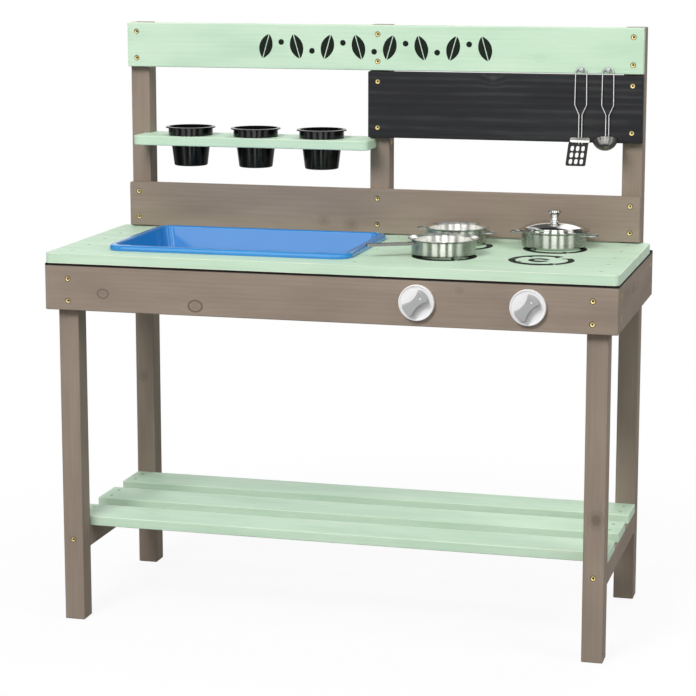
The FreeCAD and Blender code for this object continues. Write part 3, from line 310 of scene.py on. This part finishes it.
# knots that show: place on the board in metres, radius in millimetres, strength of the ring and of its core
knots = {
    "front_apron": [((-0.409, -0.214, 0.619), 8, 0.7, 0.12), ((-0.234, -0.214, 0.604), 10, 0.85, 0.25),
                    ((0.245, -0.214, 0.652), 6, 0.2, 0.25)],
    "backboard": [((-0.106, 0.178, 0.712), 9, 0.2, 0.3), ((-0.052, 0.178, 0.7065), 11, 0.2, 0.35)],
    "front_leg_right": [((0.486, -0.196, 0.257), 13, 0.2, 0.6)],
    "rear_post_left": [((-0.487, 0.196, 0.385), 9, 0.3, 0.35)],
    "header_board": [((0.31, 0.178, 1.03), 8, 0.2, 0.15)],
    "chalk_board": [((0.222, 0.178, 0.992), 7, 0.15, 0.5)],
    "shelf_slat_front": [((-0.36, -0.11, 0.188), 8, 0.25, 0.2)],
    "shelf_slat_middle": [((0.21, 0.02, 0.188), 7, 0.25, 0.2)],
    "side_apron_right": [((0.52, -0.03, 0.64), 9, 0.4, 0.3)],
    "rear_apron": [((-0.2, 0.234, 0.63), 9, 0.5, 0.3), ((0.31, 0.234, 0.61), 7, 0.4, 0.3)],
}
# painted shade: a near-black band on the aprons just under the worktop, where shadow falls in the joint, full
# down to one depth and gone at the other
jointShade = {"pieces": ("front_apron", "side_apron_left", "side_apron_right"), "full": 3.5, "wide": 5.0,
         "tint": "#0C0A08", "share": 1.0}


def worktopBox():
    corners = [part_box(piece) for piece in worktopPlanks]
    return (Vector([min(low[i] for low, high in corners) for i in range(3)]),
            Vector([max(high[i] for low, high in corners) for i in range(3)]))


def timberMaterial(piece, look, seed):
    low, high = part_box(piece)
    size = high - low
    grain = 0 if piece in worktopPlanks else max(range(3), key=lambda axis: size[axis])
    order = [grain, (grain + 1) % 3, (grain + 2) % 3]
    luck = random.Random(seed)
    material, tree, shader = newMaterial(look["name"] + "_" + piece)
    point = addNode(tree, "TexCoord").outputs["Object"]
    middle = addNode(tree, "VectorMath", {0: point, 1: (low + high) / 2}, operation="SUBTRACT")
    apart = addNode(tree, "SeparateXYZ", {0: middle})
    along = addNode(tree, "CombineXYZ", {i: apart.outputs[axis] for i, axis in enumerate(order)})
    # the pith lies beside the board, nearly parallel to it, so the rings cut its face in long curves
    shift, lean = grainShape["pithAlong"], grainShape["tilt"]
    pith = (luck.uniform(-shift, shift), luck.choice((-1, 1)) * luck.uniform(*grainShape["pithAside"]) * mm,
            luck.uniform(*grainShape["pithDeep"]) * mm)
    tilt = (0, math.radians(luck.uniform(-lean, lean)), math.radians(luck.uniform(-lean, lean)))
    heart = addNode(tree, "Mapping", {"Vector": along, "Location": pith, "Rotation": tilt,
                                      "Scale": grainShape["heartScale"]})
    swirl = knotty = 0.0
    for place, radius, ringStrength, coreStrength in knots.get(piece, []):
        offset = addNode(tree, "VectorMath", {0: point, 1: Vector(place)}, operation="SUBTRACT")
        flat = [1.0, 1.0, 1.0]
        flat[grain] = knotShape["alongGrain"]
        squeezed = addNode(tree, "VectorMath", {0: offset, 1: flat}, operation="MULTIPLY")
        far = addNode(tree, "VectorMath", {0: squeezed}, operation="LENGTH").outputs["Value"]
        push = addNode(tree, "MapRange", {0: far, 1: 0.0, 2: knotShape["reach"] * radius * mm,
                                          3: knotShape["push"], 4: 0.0}, interpolation_type="SMOOTHERSTEP")
        swirl = addNode(tree, "Math", {0: swirl, 1: push}, operation="ADD")
        fromRing = addNode(tree, "Math", {0: far, 1: radius * mm}, operation="SUBTRACT")
        fromRing = addNode(tree, "Math", {0: fromRing}, operation="ABSOLUTE")
        ring = addNode(tree, "MapRange", {0: fromRing, 1: 0.0, 2: knotShape["ringWide"] * radius * mm,
                                          3: ringStrength, 4: 0.0}, interpolation_type="SMOOTHSTEP")
        inner, outer = knotShape["core"]
        core = addNode(tree, "MapRange", {0: far, 1: inner * radius * mm, 2: outer * radius * mm,
                                          3: coreStrength, 4: 0.0}, interpolation_type="SMOOTHSTEP")
        for part in (ring, core):
            knotty = addNode(tree, "Math", {0: knotty, 1: part}, operation="MAXIMUM")
    # a wave band is a twentieth of a turn per unit, so this scale gives the ring spacing
    rings = addNode(tree, "TexWave", {"Vector": heart, "Scale": math.tau / 20 / (look["ringSpace"] * mm),
                                      "Distortion": 9.0, "Detail": 2.0, "Detail Scale": 0.22,
                                      "Detail Roughness": 0.6, "Phase Offset": swirl},
                    wave_type="RINGS", rings_direction="X")
    # late wood is a thin dark line at the end of each year's ring
    year = addNode(tree, "Math", {0: rings.outputs["Fac"], 1: grainShape["lateWood"]}, operation="POWER")
    cloud = addNode(tree, "Mapping", {"Vector": along, "Location": (luck.uniform(0, 9), 3, 5),
                                      "Scale": grainShape["cloudScale"]})
    blotch = addNode(tree, "TexNoise", {"Vector": cloud, "Scale": 1.0, "Detail": 3.0, "Roughness": 0.55})
    fibre = addNode(tree, "Mapping", {"Vector": along, "Location": (luck.uniform(0, 9), 0, 0),
                                      "Scale": grainShape["fibreScale"]})
    streaks = addNode(tree, "TexNoise", {"Vector": fibre, "Scale": 1.0, "Detail": 4.0, "Roughness": 0.6})
    # the rings fade where the stain or paint lies thicker
    patchy = addNode(tree, "MapRange", {0: blotch, 1: 0.35, 2: 0.65, 3: 0.25, 4: 1.0})
    figure = addNode(tree, "Math", {0: year, 1: 0.45}, operation="SUBTRACT")
    figure = addNode(tree, "Math", {0: figure, 1: patchy}, operation="MULTIPLY")
    figure = addNode(tree, "Math", {0: figure, 1: look["ringShare"], 2: 0.5}, operation="MULTIPLY_ADD")
    for pattern, share in ((streaks, look["streakShare"]), (blotch, look["blotchShare"])):
        centred = addNode(tree, "Math", {0: pattern, 1: 0.5}, operation="SUBTRACT")
        figure = addNode(tree, "Math", {0: centred, 1: share, 2: figure}, operation="MULTIPLY_ADD")
    tone = addNode(tree, "ValToRGB", {0: figure})
    rampStops(tone, [(0.25, colour(look["dark"])), (0.5, colour(look["base"])),
                     (0.75, colour(look["light"]))])
    # distance to the nearest edge of the board is the middle one of the distances to its faces
    if piece in worktopPlanks:
        low, high = worktopBox()
    fromMiddle = addNode(tree, "VectorMath", {0: point, 1: (low + high) / 2}, operation="SUBTRACT")
    inside = addNode(tree, "VectorMath", {0: fromMiddle}, operation="ABSOLUTE")
    gap = addNode(tree, "VectorMath", {0: (high - low) / 2, 1: inside}, operation="SUBTRACT")
    gaps = addNode(tree, "SeparateXYZ", {0: gap}).outputs
    least = addNode(tree, "Math", {0: gaps[0], 1: gaps[1]}, operation="MINIMUM")
    most = addNode(tree, "Math", {0: gaps[0], 1: gaps[1]}, operation="MAXIMUM")
    most = addNode(tree, "Math", {0: most, 1: gaps[2]}, operation="MINIMUM")
    edge = addNode(tree, "Math", {0: least, 1: most}, operation="MAXIMUM")
    # band along every arris: on the mint boards cream, partly rubbed wear and partly a painted highlight on
    # the rounded arris; darker on the stain, paler on the blackboard paint
    nearEdge = addNode(tree, "MapRange", {0: edge, 1: 0.2 * mm, 2: look["edgeWide"] * mm, 3: look["edgeShare"],
                                      4: 0.0}, interpolation_type="SMOOTHSTEP")
    patches = addNode(tree, "MapRange", {0: streaks, 1: 0.38, 2: 0.56, 3: 0.25, 4: 1.0})
    edgeWearAndHighlight = addNode(tree, "Math", {0: nearEdge, 1: patches}, operation="MULTIPLY")
    layers = [(knotty, look["knot"]), (edgeWearAndHighlight, look["edge"])]
    # painted shade in the joint under the worktop
    if piece in jointShade["pieces"]:
        height = addNode(tree, "SeparateXYZ", {0: point}).outputs[2]
        below = addNode(tree, "Math", {0: high.z, 1: height}, operation="SUBTRACT")
        shaded = addNode(tree, "MapRange", {0: below, 1: jointShade["full"] * mm, 2: jointShade["wide"] * mm,
                                            3: jointShade["share"], 4: 0.0})
        layers.append((shaded, jointShade["tint"]))
    body = tone.outputs[0]
    for share, over in layers:
        body = addNode(tree, "Mix", {0: share, 6: body, 7: colour(over)}, data_type="RGBA").outputs[2]
    rough = addNode(tree, "MapRange", {0: figure, 1: 0.25, 2: 0.75, 3: look["roughness"][1],
                                       4: look["roughness"][0]})
    bump = addNode(tree, "Bump", {"Height": figure, "Strength": look["bump"],
                                  "Distance": grainShape["relief"] * mm})
    dress(tree, shader, body, rough.outputs[0], bump.outputs[0])
    shader.inputs["Specular IOR Level"].default_value = look["gloss"]
    return material


for lookName, pieces in timberNodes.items():
    for number, piece in enumerate(pieces):
        setMaterial(nodes[piece], timberMaterial(piece, timberLooks[lookName], lookName + str(number)))
print("timber finished")

# moulded plastics and paints: colour, its slow drift, and the fine mottling of the gloss
smoothLooks = {
    # injection-moulded polypropylene: glossy, with soft sink marks
    "blueTub": {"base": "#247FC4", "other": "#2C86CA", "roughness": (0.1, 0.16), "grain": 2.5, "bump": 0.03,
                "ior": 1.49, "coat": 0.3},
    # thin moulded polystyrene: nearly black, bright only where a lamp is mirrored
    "blackPots": {"base": "#080908", "other": "#0F100F", "roughness": (0.1, 0.18), "grain": 3.0, "bump": 0.05,
                  "ior": 1.36, "coat": 0.0},
    # moulded white ABS with a faint sheen
    "whiteKnob": {"base": "#F0EFEF", "other": "#EAE9E9", "roughness": (0.3, 0.42), "grain": 1.5, "bump": 0.05,
                  "ior": 1.5, "coat": 0.0},
    # moulded grey ABS
    "greyGrip": {"base": "#A9AAAA", "other": "#A0A1A1", "roughness": (0.3, 0.45), "grain": 1.5, "bump": 0.05,
                 "ior": 1.5, "coat": 0.0},
    # brushed-on black stencil paint, slightly uneven
    "blackStencil": {"base": "#101510", "other": "#191F19", "roughness": (0.5, 0.7), "grain": 3.0,
                     "bump": 0.15, "ior": 1.25, "coat": 0.0},
    # mint paint over countersunk screw heads
    "paintedScrews": {"base": "#B3CDB6", "other": "#97AD99", "roughness": (0.4, 0.6), "grain": 2.0,
                      "bump": 0.1, "ior": 1.5, "coat": 0.0},
    # dark ring round a driven screw and dark disc in its recess: painted shadow of the countersink and
    # recess, partly stain pooled round the head
    "screwShadeAndStain": {"base": "#2A231E", "other": "#3E352E", "roughness": (0.6, 0.8), "grain": 1.0, "bump": 0.2,
                    "ior": 1.5, "coat": 0.0},
}


def smoothMaterial(name):
    look = smoothLooks[name]
    material, tree, shader = newMaterial(name)
    point = addNode(tree, "TexCoord").outputs["Object"]
    mottle = addNode(tree, "TexNoise", {"Vector": point, "Scale": 1 / (look["grain"] * mm), "Detail": 3.0})
    broad = addNode(tree, "TexNoise", {"Vector": point, "Scale": 14.0, "Detail": 2.0})
    tone = addNode(tree, "Mix", {0: broad, 6: colour(look["base"]), 7: colour(look["other"])},
                   data_type="RGBA")
    rough = addNode(tree, "MapRange", {0: mottle, 1: 0.3, 2: 0.7, 3: look["roughness"][0],
                                       4: look["roughness"][1]})
    bump = addNode(tree, "Bump", {"Height": mottle, "Strength": look["bump"], "Distance": 0.1 * mm})
    dress(tree, shader, tone.outputs[2], rough.outputs[0], bump.outputs[0])
    shader.inputs["IOR"].default_value = look["ior"]
    shader.inputs["Coat Weight"].default_value = look["coat"]
    shader.inputs["Coat Roughness"].default_value = 0.04
    return material


# metals: lines is the pattern's scale along each axis
metalLooks = {
    # stainless sheet, spun and brushed round: reflections are drawn out into upright bars; the brighter
    # inside colour is a painted reflection
    "spunSteel": {"base": "#C3C5BC", "other": "#B2B4AC", "inside": "#F8F8F4", "roughness": (0.22, 0.28),
                  "lines": (9, 9, 900), "bump": 0.04},
    # stainless sheet, brushed, coloured darker than bare steel: painted shade for the dark surroundings the
    # handle and ladle bowl mirror
    "brushedSteel": {"base": "#8C8B88", "other": "#7B7A77", "roughness": (0.22, 0.32),
                     "lines": (40, 900, 900), "bump": 0.08},
    # stainless sheet, polished
    "polishedSteel": {"base": "#DCDBD8", "other": "#CFCECA", "roughness": (0.06, 0.12),
                      "lines": (60, 60, 60), "bump": 0.05},
    # nickel-plated wire
    "brightWire": {"base": "#C8C8C8", "other": "#AFAFAF", "roughness": (0.1, 0.18),
                   "lines": (300, 300, 300), "bump": 0.05},
    # yellow passivated zinc on steel
    "yellowZinc": {"base": "#F0DD9E", "other": "#D2BB74", "roughness": (0.3, 0.45),
                   "lines": (300, 300, 300), "bump": 0.1},
    # clear passivated zinc on steel
    "plainZinc": {"base": "#C6C8C9", "other": "#ADAFB1", "roughness": (0.22, 0.36),
                  "lines": (400, 400, 400), "bump": 0.1},
}
panBodies = ("saucepan_body", "open_pot_body", "lidded_pot_body")


def metalMaterial(name, middle=None):
    look = metalLooks[name]
    material, tree, shader = newMaterial(name)
    point = addNode(tree, "TexCoord").outputs["Object"]
    drawn = addNode(tree, "Mapping", {"Vector": point, "Scale": look["lines"]})
    lines = addNode(tree, "TexNoise", {"Vector": drawn, "Scale": 1.0, "Detail": 3.0})
    tone = addNode(tree, "Mix", {0: lines, 6: colour(look["base"]), 7: colour(look["other"])},
                   data_type="RGBA").outputs[2]
    if middle is not None:
        # the brushing runs round the pan's middle; the inside gets a brighter colour than the brushed
        # outside, a painted reflection of the bright light the inside mirrors
        spoke = addNode(tree, "VectorMath", {0: point, 1: middle}, operation="SUBTRACT")
        normal = addNode(tree, "NewGeometry").outputs["Normal"]
        outwards = addNode(tree, "VectorMath", {0: spoke, 1: normal}, operation="DOT_PRODUCT")
        inside = addNode(tree, "Math", {0: outwards.outputs["Value"], 1: 0.0}, operation="LESS_THAN")
        tone = addNode(tree, "Mix", {0: inside, 6: tone, 7: colour(look["inside"])},
                       data_type="RGBA").outputs[2]
    rough = addNode(tree, "MapRange", {0: lines, 1: 0.3, 2: 0.7, 3: look["roughness"][0],
                                       4: look["roughness"][1]})
    bump = addNode(tree, "Bump", {"Height": lines, "Strength": look["bump"], "Distance": 0.05 * mm})
    dress(tree, shader, tone, rough.outputs[0], bump.outputs[0])
    shader.inputs["Metallic"].default_value = 1.0
    if middle is not None:
        # a reflection is drawn out across the brushing
        ring = addNode(tree, "VectorMath", {0: (0, 0, 1), 1: spoke}, operation="CROSS_PRODUCT")
        across = addNode(tree, "VectorMath", {0: normal, 1: ring}, operation="CROSS_PRODUCT")
        shader.inputs["Anisotropic"].default_value = 1.0
        tree.links.new(across.outputs[0], shader.inputs["Tangent"])
    return material


finishes = {name: smoothMaterial(name) for name in smoothLooks}
finishes.update({name: metalMaterial(name) for name in metalLooks if name != "spunSteel"})
smallNodes = {
    "blueTub": ["sink_tray"],
    "blackPots": ["cup_left", "cup_middle", "cup_right"],
    "whiteKnob": ["knob_disc_left", "knob_disc_right"],
    "greyGrip": ["knob_grip_left", "knob_grip_right"],
    "plainZinc": ["knob_bolt_left", "knob_bolt_right", "knob_fixing_left", "knob_fixing_right",
                  "utensil_hooks"],
    "brushedSteel": ["saucepan_handle", "ladle_bowl"],
    "polishedSteel": ["lid_dome", "lid_knob", "turner_blade"],
    "brightWire": ["open_pot_ears", "lidded_pot_ears", "turner_handle", "ladle_handle"],
}
for finish, pieces in smallNodes.items():
    for piece in pieces:
        setMaterial(nodes[piece], finishes[finish])
for piece in panBodies:
    setMaterial(nodes[piece], metalMaterial("spunSteel", middleOf(piece)))
print("plastics and metals finished")

# countersunk screws with a lobed recess, in millimetres, the head's face at 0
screw = {"headRadius": 4.25, "rim": 0.3, "shankRadius": 2.1, "point": 4, "lobes": 6, "recessRadius": 2.35,
         "recessWave": 0.35, "recessDeep": 1.4, "dish": 0.3, "segments": 24, "shadeRingWide": 1.0,
         "shadeRingUp": 0.02, "shadeRingDeep": 0.1, "recessShadeRadius": 2.0, "recessShadeTop": -0.7, "recessShadeLow": -1.5}


def spinRound(bm, outline):
    bmesh.ops.spin(bm, geom=outline, cent=(0, 0, 0), axis=(0, 0, 1), angle=math.tau,
                   steps=screw["segments"], use_merge=True)


def makeScrew(length):
    head, shank, rim = screw["headRadius"], screw["shankRadius"], screw["rim"]
    bm = bmesh.new()
    outline = [(head - rim, 0), (head, -rim), (shank, -rim - (head - shank)),
               (shank, screw["point"] - length), (0, -length)]
    line = [bm.verts.new((radius, 0, height)) for radius, height in outline]
    steps = [bm.edges.new(pair) for pair in zip(line, line[1:])]
    spinRound(bm, line + steps)
    bmesh.ops.remove_doubles(bm, verts=bm.verts, dist=0.001)
    topEdges = [edge for edge in bm.edges if edge.is_boundary]
    lobed = bmesh.ops.create_circle(bm, segments=screw["segments"], radius=1)["verts"]
    for vert in lobed:
        angle = math.atan2(vert.co.y, vert.co.x)
        vert.co *= screw["recessRadius"] + screw["recessWave"] * math.cos(screw["lobes"] * angle)
        vert.co.z = -screw["dish"]
    recessEdges = [edge for edge in bm.edges if edge.verts[0] in lobed]
    bmesh.ops.bridge_loops(bm, edges=topEdges + recessEdges)
    walls = bmesh.ops.extrude_edge_only(bm, edges=recessEdges)["geom"]
    bmesh.ops.translate(bm, vec=(0, 0, -screw["recessDeep"]), verts=onlyVerts(walls))
    bmesh.ops.holes_fill(bm, edges=[edge for edge in bm.edges if edge.is_boundary], sides=0)
    return bm


def makeBruise():
    bm = bmesh.new()
    inner, outer = screw["headRadius"], screw["headRadius"] + screw["shadeRingWide"]
    up, deep = screw["shadeRingUp"], -screw["shadeRingDeep"]
    line = [bm.verts.new((radius, 0, height)) for radius, height in
            ((inner, deep), (inner, up), (outer, up), (outer, deep))]
    steps = [bm.edges.new(pair) for pair in zip(line, line[1:] + line[:1])]
    spinRound(bm, line + steps)
    # dark disc in the recess: painted shade
    bmesh.ops.create_cone(bm, cap_ends=True, segments=screw["segments"] // 2, radius1=screw["recessShadeRadius"],
                          radius2=screw["recessShadeRadius"], depth=screw["recessShadeTop"] - screw["recessShadeLow"],
                          matrix=Matrix.Translation((0, 0, (screw["recessShadeTop"] + screw["recessShadeLow"]) / 2)))
    return bm


def spreadPiece(name, single, heads, material, seed):
    bmesh.ops.scale(single, vec=(mm, mm, mm), verts=single.verts)
    mesh = bpy.data.meshes.new("single")
    single.to_mesh(mesh)
    single.free()
    bm = bmesh.new()
    luck = random.Random(seed)
    for place, facing in heads:
        count = len(bm.verts)
        bm.from_mesh(mesh)
        bm.verts.ensure_lookup_table()
        turned = Vector(facing).to_track_quat("Z", "Y").to_matrix() @ turnAbout("Z", luck.uniform(0, 60))
        bmesh.ops.transform(bm, matrix=Matrix.Translation(place) @ turned.to_4x4(), verts=bm.verts[count:])
    bpy.data.meshes.remove(mesh)
    return finishPiece(bm, name, material, "frame")


# places of the screws in millimetres: rises are from a board's middle line, the others are distances along it
screwPlaces = {"frontApronEnd": 476, "frontApronRises": (-25, 15), "rearApronRises": (-25, 25),
               "sideApronRises": (-20, 20), "pastLegFace": 22, "beforeRearFace": 28, "bearerRise": 2,
               "slatAside": 20}
postX = [middleOf(piece).x for piece in ("rear_post_left", "middle_post", "rear_post_right")]
outerX = (postX[0], postX[2])
battenX = (postX[0], middleOf("worktop_batten_middle").x, postX[2])
apronX = (-screwPlaces["frontApronEnd"] * mm, screwPlaces["frontApronEnd"] * mm)
apronFace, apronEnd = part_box("front_apron")[0].y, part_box("front_apron")[1].x
apronMiddle = middleOf("front_apron").z
bearerLine = middleOf("shelf_bearer_left").z + screwPlaces["bearerRise"] * mm
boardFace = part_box("header_board")[0].y
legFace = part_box("front_leg_left")[0].y
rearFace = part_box("rear_post_left")[1].y
shelfLine = (middleOf("rear_post_left").y, middleOf("cup_shelf").z)
sideRows = (legFace + screwPlaces["pastLegFace"] * mm, rearFace - screwPlaces["beforeRearFace"] * mm)
forward, backward, up = (0, -1, 0), (0, 1, 0), (0, 0, 1)
boardScrews = {"header_board": (postX, 25.5), "chalk_board": (postX[1:], 43.5), "backboard": (postX, 25)}
screwHeads = {
    "screws_rear_boards": [((x, boardFace, middleOf(board).z + side * rise * mm), forward)
                           for board, (places, rise) in boardScrews.items()
                           for x in places for side in (-1, 1)],
    "screws_aprons": [((x, apronFace, apronMiddle + rise * mm), forward)
                      for x in apronX for rise in screwPlaces["frontApronRises"]]
                     + [((x, boardFace, apronMiddle + rise * mm), forward)
                        for x in postX for rise in screwPlaces["rearApronRises"]]
                     + [((side * apronEnd, y, apronMiddle + rise * mm), (side, 0, 0))
                        for side in (-1, 1) for y in sideRows for rise in screwPlaces["sideApronRises"]],
    "screws_frame": [((x, legFace, bearerLine), forward) for x in outerX]
                    + [((x, rearFace, bearerLine), backward) for x in outerX]
                    + [((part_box("rear_post_left")[0].x, *shelfLine), (-1, 0, 0)),
                       ((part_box("middle_post")[1].x, *shelfLine), (1, 0, 0))],
    "screws_shelf": [((x, middleOf(slat).y + side * screwPlaces["slatAside"] * mm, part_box(slat)[1].z), up)
                     for slat in ("shelf_slat_front", "shelf_slat_middle", "shelf_slat_rear")
                     for side in (-1, 1) for x in outerX],
    "screws_worktop": [((x, middleOf(plank).y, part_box(plank)[1].z), up)
                       for plank in ("worktop_plank_front", "worktop_plank_second_left",
                                     "worktop_plank_third_left", "worktop_plank_fourth_left",
                                     "worktop_plank_rear") for x in battenX],
}
# length in millimetres, finish and slot
screwKinds = {
    "screws_rear_boards": (40, "yellowZinc", "yellow_zinc"),
    "screws_aprons": (40, "yellowZinc", "yellow_zinc"),
    "screws_frame": (70, "yellowZinc", "yellow_zinc"),
    "screws_shelf": (30, "paintedScrews", "mint_screws"),
    "screws_worktop": (30, "paintedScrews", "mint_screws"),
}


def makeScrews():
    for number, (name, heads) in enumerate(screwHeads.items()):
        length, finish, slotName = screwKinds[name]
        piece = spreadPiece(name + "_lobed", makeScrew(length), heads, finishes[finish], number)
        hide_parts(name)
    # painted shadow: dark rings round the forward-facing screw heads and dark discs in their recesses
    ringed = [head for heads in screwHeads.values() for head in heads if head[1] == forward]
    spreadPiece("screw_shade_rings", makeBruise(), ringed, finishes["screwShadeAndStain"], 9)


makeScrews()
print("screws driven")

# white pointer dot let into each knob's grip
pointer = {"radius": 1.55, "thick": 0.55, "deep": 0.6, "out": 14, "left": 47, "right": 38, "edge": 0.12}


def makePointer(side):
    bm = bmesh.new()
    bmesh.ops.create_cone(bm, cap_ends=True, segments=32, radius1=pointer["radius"],
                          radius2=pointer["radius"], depth=pointer["thick"])
    rims = [edge for edge in bm.edges if abs(edge.verts[0].co.z - edge.verts[1].co.z) < 0.01]
    bmesh.ops.bevel(bm, geom=rims, offset=pointer["edge"], affect="EDGES", segments=2, profile=0.5,
                    material=-1)
    bmesh.ops.rotate(bm, verts=bm.verts, cent=(0, 0, 0), matrix=turnAbout("X", 90))
    bmesh.ops.scale(bm, vec=(mm, mm, mm), verts=bm.verts)
    middle = middleOf("knob_disc_" + side)
    angle = math.radians(pointer[side])
    away = Vector((math.sin(angle), 0, math.cos(angle))) * pointer["out"] * mm
    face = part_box("knob_grip_" + side)[0].y + (pointer["deep"] - pointer["thick"] / 2) * mm
    bmesh.ops.translate(bm, vec=Vector((middle.x, face, middle.z)) + away, verts=bm.verts)
    finishPiece(bm, "knob_pointer_" + side, finishes["whiteKnob"], "knob_" + side)


for side in ("left", "right"):
    makePointer(side)
print("knob pointers set")

# hob rings stencilled on the worktop in millimetres: heavy places are angle, width and growth of the stroke
burner = {"outerRadius": 52.4, "outerStroke": 11.4, "innerRadius": 14.6, "innerStroke": 8.6, "innerX": -4,
          "innerGrow": 1.7, "thick": 0.1, "up": 0.01, "lumpLong": 8, "lumpWide": 3.6,
          "outerArcs": [(57, 171), (173, 301), (305, 394)], "innerArcs": [(16, 340)],
          "heavy": [(184, 22, 0.1), (90, 46, 0.45), (270, 46, 0.65)],
          "lumps": [(34, -6), (60, -7), (126, -6), (216, -6), (303, -6)]}
burnerPlaces = {"front_left": (186, -66.85), "front_right": (362, -70.85), "rear_left": (187, 72.15),
                "rear_right": (362, 73.15)}


def heaviness(angle):
    return sum(grow * math.exp(-(((angle - at + 180) % 360 - 180) / wide) ** 2)
               for at, wide, grow in burner["heavy"])


def paintArc(bm, radius, stroke, start, stop, grow=1.0, middleX=0.0):
    # an edge across the stroke, spun about the ring's middle, then widened where the paint is heavy
    earlier = set(bm.verts)
    ends = [bm.verts.new((radius + side * stroke / 2, 0, 0)) for side in (-1, 1)]
    bmesh.ops.rotate(bm, verts=ends, cent=(0, 0, 0), matrix=turnAbout("Z", start))
    line = bm.edges.new(ends)
    bmesh.ops.spin(bm, geom=[line, *ends], cent=(0, 0, 0), axis=(0, 0, 1), angle=math.radians(stop - start),
                   steps=max(4, round(abs(stop - start) / 5)))
    for vert in [vert for vert in bm.verts if vert not in earlier]:
        far = vert.co.length
        angle = math.degrees(math.atan2(vert.co.y, vert.co.x))
        vert.co *= (radius + (far - radius) * (1 + grow * heaviness(angle))) / far
        vert.co.x += middleX


def makeBurner(name, place):
    bm = bmesh.new()
    for start, stop in burner["outerArcs"]:
        paintArc(bm, burner["outerRadius"], burner["outerStroke"], start, stop)
    for start, stop in burner["innerArcs"]:
        paintArc(bm, burner["innerRadius"], burner["innerStroke"], start, stop, burner["innerGrow"],
                 burner["innerX"])
    for angle, outwards in burner["lumps"]:
        lump = bmesh.ops.create_circle(bm, cap_ends=True, segments=18, radius=1)["verts"]
        bmesh.ops.scale(bm, vec=(burner["lumpLong"], burner["lumpWide"], 1), verts=lump)
        bmesh.ops.translate(bm, vec=(burner["outerRadius"] + outwards, 0, 0), verts=lump)
        bmesh.ops.rotate(bm, verts=lump, cent=(0, 0, 0), matrix=turnAbout("Z", angle))
    bm.normal_update()
    thickenPaint(bm, burner["thick"])
    bmesh.ops.scale(bm, vec=(mm, mm, mm), verts=bm.verts)
    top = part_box("worktop_plank_front")[1].z + burner["up"] * mm
    bmesh.ops.translate(bm, vec=(place[0] * mm, place[1] * mm, top), verts=bm.verts)
    finishPiece(bm, "burner_" + name, finishes["blackStencil"], "frame")


for name, place in burnerPlaces.items():
    makeBurner(name, place)
print("hob rings painted")

# row of leaves and dots stencilled on the header board, in millimetres
garland = {"leaves": 8, "pitch": 61, "leafHalf": 23.5, "leafWide": 12, "veinGap": 1.6, "lean": 16,
           "dotRadius": 5.5, "dotRise": 8, "thick": 0.1, "up": 0.01, "middle": (-7, 1045)}


def halfLeaf(side, lean, x, y):
    leaf = bmesh.new()
    bmesh.ops.create_circle(leaf, cap_ends=True, segments=40, radius=1)
    bmesh.ops.bisect_plane(leaf, geom=leaf.verts[:] + leaf.edges[:] + leaf.faces[:], plane_co=(0, 0, 0),
                           plane_no=(-side, 0, 0), clear_outer=True)
    for vert in leaf.verts:
        vert.co.x *= garland["leafWide"] * max(0.0, 1 - vert.co.y ** 2) ** 0.35
        vert.co.x += side * garland["veinGap"] / 2
        vert.co.y *= garland["leafHalf"]
    bmesh.ops.rotate(leaf, verts=leaf.verts, cent=(0, 0, 0), matrix=turnAbout("Z", lean))
    bmesh.ops.translate(leaf, vec=(x, y, 0), verts=leaf.verts)
    return leaf


def makeGarland():
    bm = bmesh.new()
    x, y = garland["middle"]
    for i in range(garland["leaves"]):
        along = x + (i - (garland["leaves"] - 1) / 2) * garland["pitch"]
        turn = 1 if i % 2 else -1
        for side in (-1, 1):
            addShape(bm, halfLeaf(side, turn * garland["lean"], along, y))
        if i:
            bmesh.ops.create_circle(bm, cap_ends=True, segments=28, radius=garland["dotRadius"],
                                    matrix=Matrix.Translation((along - garland["pitch"] / 2,
                                                               y + turn * garland["dotRise"], 0)))
    bm.normal_update()
    thickenPaint(bm, garland["thick"])
    bmesh.ops.rotate(bm, verts=bm.verts, cent=(0, 0, 0), matrix=turnAbout("X", 90))
    bmesh.ops.scale(bm, vec=(mm, mm, mm), verts=bm.verts)
    bmesh.ops.translate(bm, vec=(0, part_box("header_board")[0].y - garland["up"] * mm, 0), verts=bm.verts)
    finishPiece(bm, "header_garland", finishes["blackStencil"], "frame")


makeGarland()
print("header garland painted")
